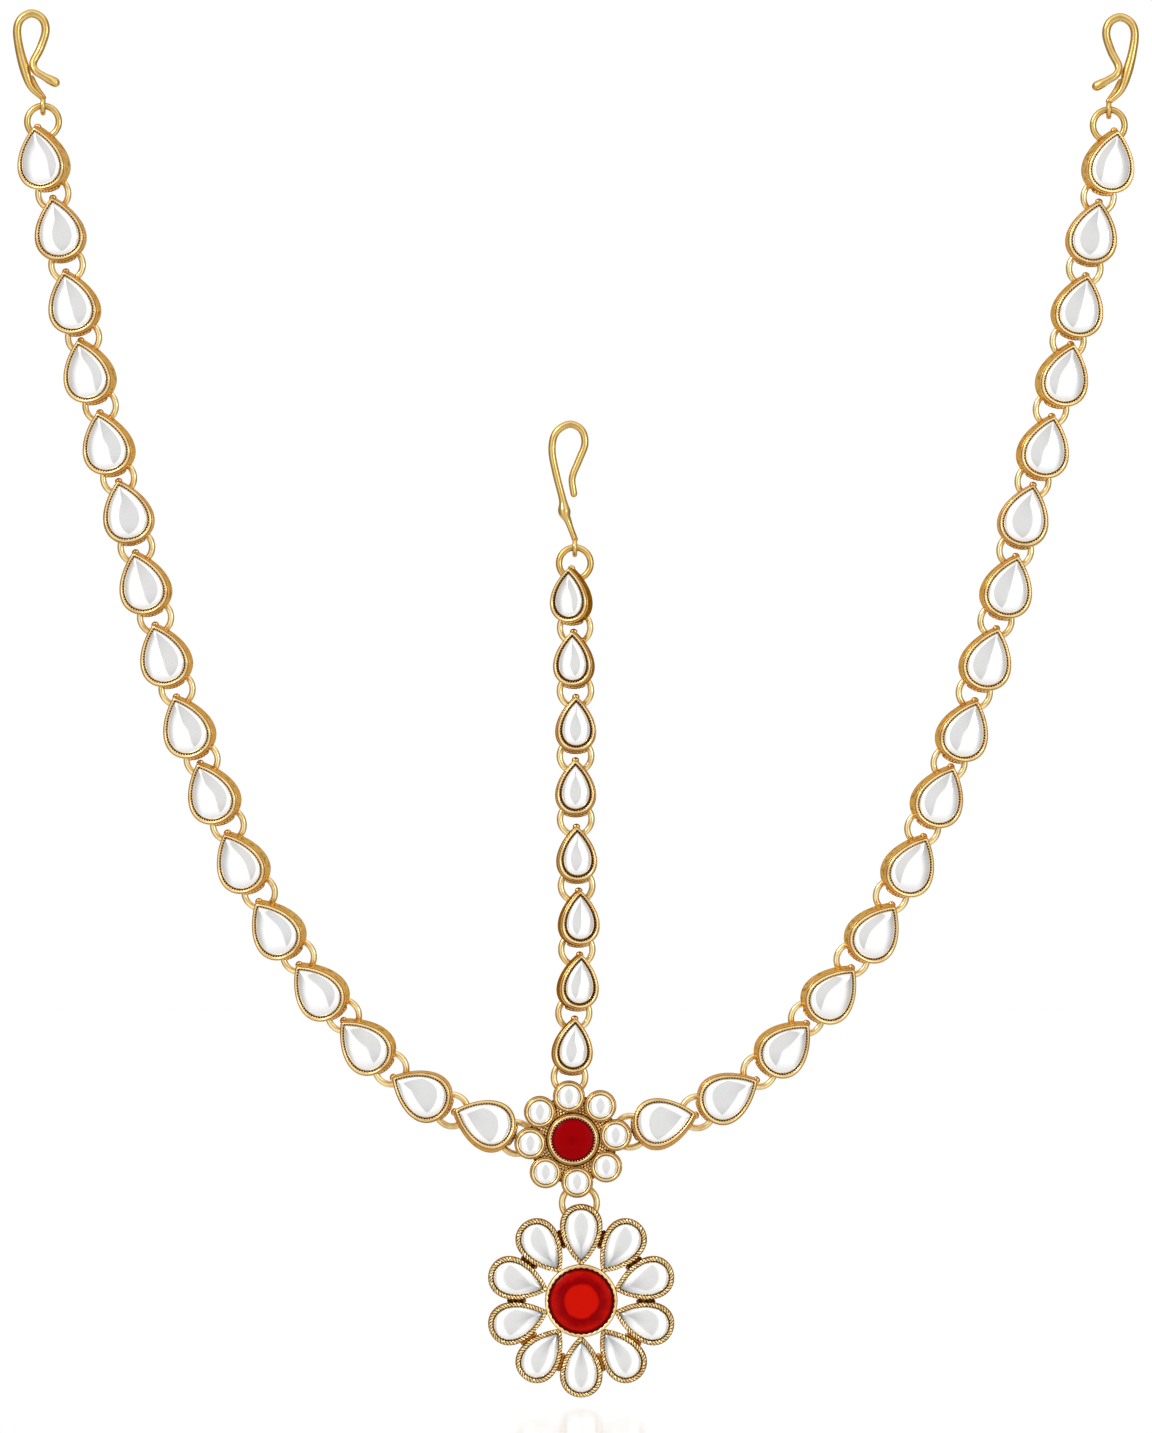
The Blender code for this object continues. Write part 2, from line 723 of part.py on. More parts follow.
def main():
    clear_scene()
    jewel = new_collection("matha_patti")
    gold = new_material("gold", (0.83, 0.55, 0.2), 1.0, 0.3)
    white = new_material("white_stone", (0.9, 0.9, 0.92), 0.0, 0.05)
    ruby = new_material("ruby", (0.5, 0.0, 0.01), 0.0, 0.05)
    bright_red = new_material("bright_red", (0.75, 0.02, 0.01), 0.0, 0.05)
    set_metal = (gold, white)

    parts = {
        "side_link": link_mesh(SIDE, set_metal, "side_link"),
        "centre_link": link_mesh(CENTRE, set_metal, "centre_link"),
        "ring": fused(
            [torus_mesh(RING_DIAMETER, RING_WIRE, RING_SIDES, RING_WIRE_SIDES, "ring")],
            (gold,),
            "ring",
        ),
        "left_hook": hook_mesh(
            SIDE_HOOK_SHAPE, SIDE_HOOK_LENGTH, SIDE_HOOK_BOW, None, 1, (gold,), "left_hook"
        ),
        "right_hook": hook_mesh(
            SIDE_HOOK_SHAPE, SIDE_HOOK_LENGTH, SIDE_HOOK_BOW, None, -1, (gold,), "right_hook"
        ),
        "centre_hook": hook_mesh(
            CENTRE_HOOK_SHAPE, CENTRE_HOOK_LENGTH, CENTRE_HOOK_BOW, BEAD_PLACE, 1, (gold,), "centre_hook"
        ),
    }

    chain_end = add_centre_chain(parts, jewel)

    # The flower, its loops where the chains' rings reach behind its cups
    flower_top = FLOWER_OUTER - (CENTRE.gap + CENTRE.inset - FLOWER_TOP_GAP)
    flower_side = FLOWER_OUTER - (SIDE.gap + SIDE.inset - FLOWER_SIDE_GAP)
    flower_bottom = FLOWER_OUTER - PENDANT_RING_INSET + PENDANT_RING_DROP
    quarter = math.pi / 2
    loops = (
        (0, flower_top, RING_WIRE),
        (quarter, flower_side, RING_WIRE),
        (2 * quarter, flower_bottom, RING_WIRE),
        (3 * quarter, flower_side, RING_WIRE),
    )
    turned = Matrix.Rotation(FLOWER_TURN, 4, "Y")
    flower_middle = chain_end - turned @ Vector((0, 0, flower_top))
    flower_place = Matrix.Translation(flower_middle) @ turned
    add("flower_setting", flower_mesh(loops, set_metal, "flower_setting"), flower_place, jewel)
    flower_rim = STANDOFF + FLOWER_RED_CUP_DEPTH
    flower_stone = domed_stone_mesh(FLOWER_RED_STONE_DIAMETER, flower_rim, "flower_red_stone")
    flower_stone.materials.append(ruby)
    add("flower_red_stone", flower_stone, flower_place, jewel)

    # The arms
    left_start = flower_middle + turned @ Vector((-flower_side, 0, 0))
    right_start = flower_middle + turned @ Vector((flower_side, 0, 0))
    add_arm("left", 1, left_start, flower_middle, parts, jewel)
    add_arm("right", -1, right_start, flower_middle, parts, jewel)

    # The pendant, which swings about its ring's lowest wire
    ring_top = flower_middle - turned @ Vector((0, 0, flower_bottom))
    ring_down = Vector((math.sin(PENDANT_RING_SWAY), 0, -math.cos(PENDANT_RING_SWAY)))
    ring_place = Matrix.Translation(ring_top + ring_down * PENDANT_RING_DIAMETER / 2) @ Matrix.Rotation(
        -PENDANT_RING_SWAY, 4, "Y"
    )
    pendant_ring = fused(
        [torus_mesh(PENDANT_RING_DIAMETER, RING_WIRE, RING_SIDES, RING_WIRE_SIDES, "pendant_ring")],
        (gold,),
        "pendant_ring",
    )
    add("pendant_ring", pendant_ring, ring_place, jewel)
    hinge = bpy.data.objects.new("pendant_hinge", None)
    hinge.location = ring_top + ring_down * PENDANT_RING_DIAMETER
    hinge.empty_display_size = PENDANT_OUTER
    jewel.objects.link(hinge)
    hinge_radius = PENDANT_OUTER - (PENDANT_RING_INSET + PENDANT_RING_DROP)
    setting = add(
        "pendant_setting",
        pendant_mesh(hinge_radius, set_metal, "pendant_setting"),
        Matrix.Identity(4),
        jewel,
    )
    pendant_rim = STANDOFF + PENDANT_RED_CUP_DEPTH
    pendant_stone = cut_stone_mesh(PENDANT_RED_STONE_DIAMETER, pendant_rim, "pendant_red_stone")
    pendant_stone.materials.append(bright_red)
    stone = add(
        "pendant_red_stone", pendant_stone, Matrix.Translation((0, 0, -hinge_radius)), jewel
    )
    setting.parent = hinge
    stone.parent = hinge
    bpy.context.view_layer.update()


main()
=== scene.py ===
import json
from math import atan2, cos, pi, radians, sin, sqrt
from typing import NamedTuple

import bmesh
import bpy
import numpy as np
from mathutils import Matrix, Vector
from mathutils.kdtree import KDTree


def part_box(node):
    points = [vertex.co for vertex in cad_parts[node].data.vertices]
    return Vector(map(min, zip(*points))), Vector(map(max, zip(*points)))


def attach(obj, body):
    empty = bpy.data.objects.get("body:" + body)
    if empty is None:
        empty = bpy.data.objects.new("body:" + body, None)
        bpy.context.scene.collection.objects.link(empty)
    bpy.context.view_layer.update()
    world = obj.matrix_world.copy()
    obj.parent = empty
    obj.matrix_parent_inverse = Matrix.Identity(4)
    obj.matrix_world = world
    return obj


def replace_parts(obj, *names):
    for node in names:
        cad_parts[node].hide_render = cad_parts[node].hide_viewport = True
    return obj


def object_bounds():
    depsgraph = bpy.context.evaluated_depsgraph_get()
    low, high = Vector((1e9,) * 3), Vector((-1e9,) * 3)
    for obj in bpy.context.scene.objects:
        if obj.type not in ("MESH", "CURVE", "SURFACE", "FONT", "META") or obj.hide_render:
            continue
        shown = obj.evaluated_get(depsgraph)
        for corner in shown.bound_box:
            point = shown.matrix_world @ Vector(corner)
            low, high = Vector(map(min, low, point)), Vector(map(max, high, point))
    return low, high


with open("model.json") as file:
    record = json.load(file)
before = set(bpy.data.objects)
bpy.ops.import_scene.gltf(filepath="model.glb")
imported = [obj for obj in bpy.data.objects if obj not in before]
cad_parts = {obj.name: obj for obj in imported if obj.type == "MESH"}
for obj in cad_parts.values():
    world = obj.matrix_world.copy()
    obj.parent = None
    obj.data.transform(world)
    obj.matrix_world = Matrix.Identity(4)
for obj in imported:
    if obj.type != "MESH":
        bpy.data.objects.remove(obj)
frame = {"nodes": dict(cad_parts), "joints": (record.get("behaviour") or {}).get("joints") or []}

bl_info = {
    "name": "Matha Patti",
    "version": (1, 0, 0),
    "blender": (4, 5, 0),
    "location": "3D View > Sidebar > Matha Patti",
    "description": "Finishes a matha patti: cups, stones, rings, hooks, flower and pendant",
    "category": "Add Mesh",
}

# The frame

CAD_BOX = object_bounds()
MM = 0.001
CHAINS = "chains"
PENDANT = "pendant"
ARM_NODES = {side: [f"{side}_link_{n:02d}" for n in range(1, 17)] for side in ("left", "right")}
CENTRE_NODES = [f"centre_link_{n:02d}" for n in range(1, 9)]
HOOK_NODES = ("left_hook", "right_hook", "centre_hook")
LOOSE_RING_NODES = tuple(f"{node}_ring" for node in HOOK_NODES)


def middle_of(node):
    low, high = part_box(node)
    return (low + high) / 2


def new_object(name, data):
    """An object of the scene."""
    item = bpy.data.objects.new(name, data)
    bpy.context.scene.collection.objects.link(item)
    return item


# Wires: jump rings, the hooks' eyes and the loops behind the cups
RING_RADIUS = 2.45 * MM
PENDANT_RING_RADIUS = 2.7 * MM
RING_WIRE = 1.02 * MM
EYE_RADIUS = 1.125 * MM
EYE_WIRE = 0.8 * MM
LOOP_WIRE = 0.6 * MM
LOOP_HALF = 1.375 * MM
LOOP_RISE = 2.1 * MM

# How far every cup's back lies in front of the rings' plane
STANDOFF = 1.025 * MM

# A pear outline is as full as this power says, and its widest place is this share before it is scaled
PEAR_FULLNESS = 0.8
PEAR_PEAK = 0.8034

# A drop link turns about its length a little further than its solid, by this share of its turn
FURTHER_TURN = 0.8


class Drop(NamedTuple):
    """A drop link: its cup, the gap to the next, the seat that shows round its stone, and how dark its wall and
    teeth are drawn with patina and painted shade.
    """

    length: float
    width: float
    depth: float
    gap: float
    seat: float
    wall_recess: float
    tooth_recess: float


SIDE_DROP = Drop(10.2 * MM, 8.0 * MM, 3.0 * MM, 1.1 * MM, 0.15 * MM, 0.2, 0.3)
CENTRE_DROP = Drop(8.8 * MM, 6.4 * MM, 2.8 * MM, 1.15 * MM, 0.27 * MM, 0.6, 0.45)
DROP_FLARE = 0.12 * MM
DROP_ENGRAVING = 0.9
DROP_TOOTH = (0.16 * MM, 0.17 * MM, 0.17 * MM)
# Share of painted grey shade near a drop stone's tip
DROP_TIP_SHADE = 0.35

# Every cup: its shoulder under the rim's top, the raised line on it, the rim's rise and the stone's seat
SHOULDER = 0.42 * MM
EDGE_LINE = 0.065 * MM
RIM_RISE = 0.36 * MM
SEAT_DEPTH = 0.5 * MM
STONE_STEPS = 13


class RoundCup(NamedTuple):
    """A round cup of the flower."""

    radius: float
    depth: float
    rim: float
    engraving: float


FLOWER_CUP = RoundCup(2.5 * MM, 2.6 * MM, 0.38 * MM, 0.5)
FLOWER_BEZEL = RoundCup(4.05 * MM, 3.0 * MM, 0.4 * MM, 0.8)
ROUND_FLARE = 0.1 * MM
ROUND_RECESS = 0.62
FLOWER_CUPS = 8
FLOWER_CIRCLE = 6.65 * MM
FLOWER_TURN = radians(-5.5)
FLOWER_LOOPS = (7.325 * MM, 6.75 * MM, 7.3 * MM, 6.75 * MM)
FLOWER_STONE_SEAT = 2.15 * MM
FLOWER_STONE_RISE = 0.9 * MM
BEZEL_TOOTH = (0.16 * MM, 0.14 * MM, 0.16 * MM)
BEZEL_TOOTH_PITCH = 0.46 * MM
RUBY_SEAT = 2.65 * MM
RUBY_RISE = 0.7 * MM
PLATE_RADIUS = 6.4 * MM
PLATE_CIRCLES = (4.3 * MM, 4.75 * MM, 5.2 * MM, 5.65 * MM, 6.1 * MM)
PLATE_GRAIN = (0.27 * MM, 0.27 * MM, 0.3 * MM)

# The pendant's petals, their solder, and the cut stone in its scalloped cup
PETALS = 10
PETAL_TIP_RADIUS = 5.4 * MM
PETAL_LENGTH = 9.6 * MM
PETAL_WIDTH = 6.65 * MM
PETAL_DEPTH = 2.4 * MM
ROPE_INSET = 0.41 * MM
ROPE_STEPS = 9
PETAL_STONE_INSET = 0.64 * MM
WEB_START = 8.8
WEB_LENGTH = 2.4
SCALLOPED_RADIUS = 5.65 * MM
SCALLOPS = 36
CUT_STONE_RADIUS = 5.12 * MM
CUT_STONE_SEAT = 2.35 * MM

# Wire of a hook from its tail to its stem, in millimetres: across and up from the eye, forward, and thickness
SIDE_HOOK = (
    (1.9, 3.6, -0.6, 1.5),
    (1.1, 4.0, -0.8, 1.45),
    (0.2, 4.5, -0.95, 1.2),
    (-1.15, 5.4, -0.9, 1.2),
    (-1.5, 6.7, -0.4, 1.25),
    (-0.4, 8.97, 0.0, 1.3),
    (0.4, 11.61, 0.0, 1.3),
    (-0.12, 13.5, 0.0, 1.3),
    (-1.77, 14.32, 0.0, 1.3),
    (-3.4, 13.5, 0.0, 1.3),
    (-4.03, 11.75, 0.0, 1.3),
    (-3.66, 8.81, 0.0, 1.4),
    (-2.8, 5.57, 0.1, 1.6),
    (-1.89, 2.94, 0.0, 1.05),
    (0.0, 1.12, 0.0, 0.8),
)
CENTRE_HOOK = (
    (-0.15, 8.31, 0.0, 1.08),
    (-0.41, 10.79, 0.0, 1.1),
    (0.61, 13.47, 0.0, 1.15),
    (1.56, 16.06, 0.0, 1.15),
    (1.02, 18.24, 0.0, 1.15),
    (-0.90, 19.10, 0.0, 1.15),
    (-2.96, 17.76, 0.0, 1.15),
    (-3.54, 15.09, 0.0, 1.15),
    (-2.91, 11.46, 0.0, 1.15),
    (-1.89, 7.45, 0.0, 1.2),
    (-1.62, 5.6, 0.0, 1.95),
    (-1.07, 4.01, 0.0, 1.0),
    (0.0, 1.12, 0.0, 0.8),
)

# The thin second wire that is soldered along a hook's stem: across, up and forward
SIDE_STEM = ((-1.75, 4.4, 0.3), (-1.0, 2.9, 0.35), (0.1, 1.3, 0.1))
CENTRE_STEM = ((-1.0, 4.6, 0.25), (-0.55, 3.0, 0.3), (0.1, 1.3, 0.1))
STEM_WIRE = 0.8 * MM

# Colours that nothing else shares, and the scales of the noise in the finishes
SPECULAR_TINT = (0.85, 0.5, 0.18, 1)
FOIL_LILAC = (0.95, 0.9, 0.94, 1)
FOIL_BLUE = (0.88, 0.91, 0.95, 1)
# Painted shade: the grey of a white stone's edge and of the part near its tip
STONE_EDGE_SHADE = (0.16, 0.165, 0.19, 1)
# Deep reds for random clouds and for painted shade in a red stone; near-black reds for the painted shade at its
# edge
RUBY_DEEP, RUBY_EDGE_SHADE = (0.2, 0.0, 0.001, 1), (0.03, 0.0, 0.001, 1)
RED_DEEP, RED_EDGE_SHADE = (0.22, 0.0, 0.001, 1), (0.04, 0.0, 0.001, 1)
BROAD_WEAR = 420.0
FINE_GRAIN = 2600.0
CUP_GRAINS = 1300.0
PLATE_GRAINS = 1500.0
GLASS_CLOUDS = 260.0
GLASS_TINTS = 150.0
RED_CLOUDS = 520.0

# The photograph's frame: its picture, its scale and the point over the origin
PICTURE = (1152, 1433)
PIXEL = 0.155 * MM
ORIGIN_PIXEL = (569, 428)
CAMERA_DISTANCE = 2.2
SENSOR = 36.0

# The studio: area lights by place and power, and the white room round the jewel
LIGHTS = {"key": ((-0.62, -0.7, 0.5), 3.0), "fill": ((0.75, -0.75, 0.05), 1.2)}
LIGHT_SIZE = 0.3
LIGHT_AIM = Vector((0, 0, -0.07))
LENS_HEIGHT, LENS_CURVE, LENS_HALF = 0.1, 1.8, 0.3
LENS_LIGHT, PANEL_LIGHT, BACK_LIGHT, SEEN_LIGHT = 0.64, 1.28, 0.75, 1.02
FLOOR_DROP = 1.0 * MM
FLOOR_HALF = 3.0
FLOOR_FRONT = -0.25
FLOOR_GLOW, GLOW_SHARE = 1.2, 0.6


def length_property(name, description, millimetres):
    return bpy.props.FloatProperty(
        name=name, description=description, default=millimetres * MM, unit="LENGTH", precision=5
    )


def colour_property(name, description, *colour):
    return bpy.props.FloatVectorProperty(
        name=name, description=description, subtype="COLOR", size=4, default=(*colour, 1.0)
    )


class JewelSizes(bpy.types.PropertyGroup):
    """Sizes of the finish that a jeweller would change"""

    rim_width: length_property("Rim width", "Width of a drop cup's rounded rim", 0.42)
    tooth_pitch: length_property("Tooth pitch", "Step of the milled teeth round a stone", 0.42)
    stone_rise: length_property("Stone rise", "How far a drop stone stands over its seat", 1.0)
    rope_wire: length_property("Rope wire", "Thickness of one strand of the petals' twisted wire", 0.33)
    # The dark line round a petal's stone is patina with painted shade
    rope_pitch: length_property("Rope pitch", "Length of one full turn of the twisted wire", 0.96)
    patina_and_shade_line: length_property("Patina and shade line", "Width of the dark line round a petal's stone", 0.15)


class JewelColours(bpy.types.PropertyGroup):
    """Colours of the metal and the stones"""

    gold: colour_property("Gold", "Polished gilding", 0.99, 0.78, 0.4)
    wire_gold: colour_property("Wire gold", "Deeper gilding of the hooks", 0.76, 0.53, 0.19)
    deep_gold: colour_property("Deep gold", "Gilding where it is duller and redder", 0.6, 0.32, 0.075)
    # Patina in the recesses, also used to paint the shade there
    patina_and_shade: colour_property("Patina", "Darkened recesses", 0.075, 0.024, 0.006)
    white: colour_property("White", "Milky stones", 0.93, 0.925, 0.91)
    ruby: colour_property("Ruby", "The flower's red stone", 0.27, 0.0, 0.001)
    bright_red: colour_property("Bright red", "The pendant's red stone", 0.5, 0.005, 0.001)


# Reading the solids


def triangles_of(node):
    """A node's corners, and its triangles' middles, normals and areas."""
    mesh = frame["nodes"][node].data
    corners = np.array([v.co for v in mesh.vertices])
    faces = np.array([p.vertices for p in mesh.polygons])
    a, b, c = (corners[faces[:, i]] for i in range(3))
    cross = np.cross(b - a, c - a)
    doubled = np.linalg.norm(cross, axis=1)
    real = doubled > 1e-13
    return corners, ((a + b + c) / 3)[real], cross[real] / doubled[real, None], doubled[real] / 2


def seat_of(node):
    """A drop link's place: the tip of its flat back, +Z towards the tip, -Y out of the stone."""
    corners, middles, normals, areas = triangles_of(node)
    facing = (normals @ normals.T > 0.99999) @ areas
    back = normals[np.argmax(facing)]
    on_back = normals @ back > 0.9999
    back_middle = np.average(middles[on_back], axis=0, weights=areas[on_back])
    up = back_middle - np.average(middles, axis=0, weights=areas)
    up -= back * (up @ back)
    up /= np.linalg.norm(up)
    across = np.cross(back, up)
    tip = back_middle + up * ((corners - back_middle) @ up).max()
    return Matrix([*np.column_stack([across, back, up, tip]).tolist(), (0, 0, 0, 1)])


# Nodes of shader and geometry trees


def feed(tree, node, inputs):
    """Sets a node's inputs, each to a value or to the socket that feeds it."""
    for key, value in dict(inputs).items():
        if isinstance(value, bpy.types.NodeSocket):
            tree.links.new(value, node.inputs[key])
        else:
            node.inputs[key].default_value = value
    return node


def add_node(tree, kind, inputs=(), **settings):
    node = tree.nodes.new(kind)
    for key, value in settings.items():
        setattr(node, key, value)
    return feed(tree, node, inputs)


def maths(tree, operation, *values):
    return add_node(tree, "ShaderNodeMath", enumerate(values), operation=operation).outputs[0]


def times(tree, first, second):
    return maths(tree, "MULTIPLY", first, second)


def plus(tree, first, second):
    return maths(tree, "ADD", first, second)


def minus(tree, first, second):
    return maths(tree, "SUBTRACT", first, second)


def vector_maths(tree, operation, inputs):
    return add_node(tree, "ShaderNodeVectorMath", inputs, operation=operation).outputs[0]


def blend_colour(tree, share, first, second):
    return add_node(tree, "ShaderNodeMix", {0: share, 6: first, 7: second}, data_type="RGBA").outputs[2]


def ranged(tree, value, low, high, new_low=0.0, new_high=1.0):
    names = ("Value", "From Min", "From Max", "To Min", "To Max")
    inputs = dict(zip(names, (value, low, high, new_low, new_high)))
    return add_node(tree, "ShaderNodeMapRange", inputs, interpolation_type="SMOOTHSTEP").outputs["Result"]


def noise(tree, scale, detail, roughness=0.5):
    """Clouds that are fixed to the piece."""
    place = tree.nodes.new("ShaderNodeTexCoord").outputs["Object"]
    inputs = {"Vector": place, "Scale": scale, "Detail": detail, "Roughness": roughness}
    return add_node(tree, "ShaderNodeTexNoise", inputs).outputs[0]


def attribute(tree, name):
    return add_node(tree, "ShaderNodeAttribute", attribute_name=name).outputs["Fac"]


# Materials


def gilding_group():
    """Antique gilding: colour, roughness and height from two golds, a patina that also paints the shade in
    recesses, and how deep the place lies.
    """
    tree = bpy.data.node_groups.new("Antique gilding", "ShaderNodeTree")
    inputs = {"Gold": "Color", "Deep gold": "Color", "Patina": "Color"}
    inputs |= {"Recess": "Float", "Engraving": "Float", "Grain size": "Float"}
    outputs = {"Colour": "Color", "Roughness": "Float", "Height": "Float"}
    for way, sockets in (("INPUT", inputs), ("OUTPUT", outputs)):
        for name, kind in sockets.items():
            tree.interface.new_socket(name, in_out=way, socket_type=f"NodeSocket{kind}")
    into = tree.nodes.new("NodeGroupInput").outputs
    broad = noise(tree, BROAD_WEAR, 3.0, 0.6)
    fine = noise(tree, FINE_GRAIN, 2.0, 0.6)
    place = tree.nodes.new("ShaderNodeTexCoord").outputs["Object"]
    grains = add_node(tree, "ShaderNodeTexVoronoi", {"Vector": place, "Scale": into["Grain size"]}, feature="F1")
    dull = ranged(tree, broad, 0.42, 0.72)
    cracks = ranged(tree, grains.outputs["Distance"], 0.35, 0.75)
    engraved = times(tree, cracks, into["Engraving"])
    # How deep the place lies: the recess attribute, which stands for patina and painted shade, with fine noise
    depth = plus(tree, into["Recess"], times(tree, minus(tree, fine, 0.5), 0.5))
    # Patina colour with painted shade, laid over recesses and engraved lines
    stained_and_shaded = ranged(tree, maths(tree, "MAXIMUM", depth, times(tree, engraved, 0.62)), 0.35, 0.8)
    # Deeper gold from broad random wear, and in recesses as painted shade
    warm = maths(tree, "MAXIMUM", times(tree, dull, 0.55), ranged(tree, into["Recess"], 0.05, 0.45))
    colour = blend_colour(tree, warm, into["Gold"], into["Deep gold"])
    colour = blend_colour(tree, stained_and_shaded, colour, into["Patina"])
    rough = plus(tree, plus(tree, times(tree, dull, 0.1), times(tree, stained_and_shaded, 0.3)), 0.2)
    height = plus(tree, minus(tree, times(tree, fine, 0.35), engraved), times(tree, broad, 0.5))
    add_node(tree, "NodeGroupOutput", {"Colour": colour, "Roughness": rough, "Height": height})
    return tree


def new_material(name):
    """A new material's tree and shader."""
    material = bpy.data.materials.new(name)
    material.use_nodes = True
    return material.node_tree, material.node_tree.nodes["Principled BSDF"]


def gold_material(name, gilding, gold, colours, grain_size, bump):
    """Gilded metal. Recesses and engraving come from the attributes of the same names; the recesses are drawn
    dark with patina and painted shade.
    """
    tree, shader = new_material(name)
    inputs = {
        "Gold": gold,
        "Deep gold": colours.deep_gold,
        "Patina": colours.patina_and_shade,
        "Recess": attribute(tree, "recess"),
        "Engraving": attribute(tree, "engraving"),
        "Grain size": grain_size,
    }
    gilded = add_node(tree, "ShaderNodeGroup", inputs, node_tree=gilding).outputs
    relief = {"Strength": bump, "Distance": 0.05 * MM, "Height": gilded["Height"]}
    normal = add_node(tree, "ShaderNodeBump", relief).outputs["Normal"]
    metal = {"Metallic": 1.0, "Specular Tint": SPECULAR_TINT, "Normal": normal}
    feed(tree, shader, metal | {"Base Color": gilded["Colour"], "Roughness": gilded["Roughness"]})


def white_material(name, colours, roughness):
    """Milky glass on a bright foil: clouds of faint lilac and blue in a glossy white, with painted grey shade at
    the edge and near the tip where the recess attribute says.
    """
    tree, shader = new_material(name)
    tint = ranged(tree, noise(tree, GLASS_TINTS, 1.0), 0.4, 0.65)
    cloud = ranged(tree, noise(tree, GLASS_CLOUDS, 3.0), 0.45, 0.75)
    foil = blend_colour(tree, tint, FOIL_LILAC, FOIL_BLUE)
    colour = blend_colour(tree, times(tree, cloud, 0.6), colours.white, foil)
    # Painted shade: grey where the recess attribute says, at the stone's edge and near its tip
    colour = blend_colour(tree, times(tree, attribute(tree, "recess"), 0.85), colour, STONE_EDGE_SHADE)
    coat = {"Coat Weight": 0.3, "Coat Roughness": 0.03}
    feed(tree, shader, coat | {"Base Color": colour, "Metallic": 0.7, "Roughness": roughness})


def red_material(name, colour, deep, edge):
    """Red glass: deeper where the engraving attribute says, and nearly black where the recess one does; on the
    red stones both are painted shade.
    """
    tree, shader = new_material(name)
    cloud = times(tree, minus(tree, noise(tree, RED_CLOUDS, 2.0), 0.5), 0.7)
    # The clouds vary the red at random; the engraving and recess attributes paint shade
    depth = ranged(tree, plus(tree, attribute(tree, "engraving"), cloud), 0.15, 0.95)
    body = blend_colour(tree, attribute(tree, "recess"), blend_colour(tree, depth, colour, deep), edge)
    feed(tree, shader, {"Base Color": body, "Roughness": 0.12, "Specular IOR Level": 0.03})


# Outlines, which run once round from the top


def pear_outline(length, width, count):
    """An outline that gives its points at any inset, tip at the origin and body below it."""
    fine = np.linspace(0, 2 * pi, 2001)
    x = width / 2 * np.sin(fine) * np.abs(np.sin(fine / 2)) ** PEAR_FULLNESS / PEAR_PEAK
    z = length / 2 * np.cos(fine)
    run = np.concatenate([[0], np.cumsum(np.hypot(np.diff(x), np.diff(z)))])
    turn = np.interp(np.arange(count) / count * run[-1], run, fine)

    def at(inset):
        across = (width / 2 - inset) * np.sin(turn) * np.sin(turn / 2) ** PEAR_FULLNESS / PEAR_PEAK
        return across, (length / 2 - inset) * np.cos(turn) - length / 2

    at.around = run[-1]
    at.heart = np.array([0, -length * 0.6])
    return at


def round_outline(radius, count):
    turn = np.arange(count) / count * 2 * pi

    def at(inset):
        return (radius - inset) * np.sin(turn), (radius - inset) * np.cos(turn)

    at.around = 2 * pi * radius
    at.heart = np.array([0, 0])
    return at


# Meshes


class Row(NamedTuple):
    """A row of a profile: how far in and how high it lies, and how recessed and engraved it looks; the recess is
    drawn as patina with painted shade, and on a red stone both values are painted shade.
    """

    inset: float
    height: float
    recess: float = 0.0
    engraving: float = 0.0


class Work:
    """A mesh in the making: its points, faces, and how recessed and how engraved each point is, values that are
    drawn as patina and painted shade, and on the stones as painted shade only.
    """

    def __init__(self):
        self.points, self.faces, self.recess, self.engraving = [], [], [], []

    def add(self, points, faces, recess=0.0, engraving=0.0, place=None):
        start = len(self.points)
        count = len(points)
        for point in points:
            spot = Vector(point)
            self.points.append(place @ spot if place else spot)
        self.faces += [[start + i for i in face] for face in faces]
        self.recess += list(np.broadcast_to(recess, count))
        self.engraving += list(np.broadcast_to(engraving, count))

    def add_mesh(self, mesh, recess=0.0, place=None):
        points = [v.co.copy() for v in mesh.vertices]
        self.add(points, [tuple(p.vertices) for p in mesh.polygons], recess, 0.0, place)

    def rings(self, rings, recess=0.0, engraving=0.0, place=None, closed=False):
        """Rings of points joined by faces, with end faces unless the last ring joins the first."""
        rings = np.asarray(rings)
        rows, count = rings.shape[:2]
        faces = []
        for row in range(rows if closed else rows - 1):
            low, high = row * count, (row + 1) % rows * count
            for i in range(count):
                j = (i + 1) % count
                faces.append((low + i, low + j, high + j, high + i))
        if not closed:
            faces.append(tuple(range(count))[::-1])
            faces.append(tuple(range((rows - 1) * count, rows * count)))
        recess = np.repeat(recess, count) if np.size(recess) == rows else recess
        engraving = np.repeat(engraving, count) if np.size(engraving) == rows else engraving
        self.add(rings.reshape(-1, 3), faces, recess, engraving, place)

    def profile(self, outline, rows, place=None):
        """A profile laid round an outline."""
        rings = []
        for row in rows:
            x, z = outline(row.inset)
            rings.append(np.column_stack([x, np.full(len(x), -row.height), z]))
        self.rings(rings, [row.recess for row in rows], [row.engraving for row in rows], place)

    def mesh(self, name, sharp=50):
        mesh = bpy.data.meshes.new(name)
        mesh.from_pydata(self.points, [], self.faces)
        for label, values in (("recess", self.recess), ("engraving", self.engraving)):
            mesh.attributes.new(label, "FLOAT", "POINT").data.foreach_set("value", values)
        work = bmesh.new()
        work.from_mesh(mesh)
        bmesh.ops.recalc_face_normals(work, faces=work.faces)
        work.to_mesh(mesh)
        work.free()
        mesh.shade_smooth()
        mesh.set_sharp_from_angle(angle=radians(sharp))
        return mesh


def half_turn(steps):
    """Angles from none to half a turn."""
    return [pi * step / steps for step in range(steps + 1)]


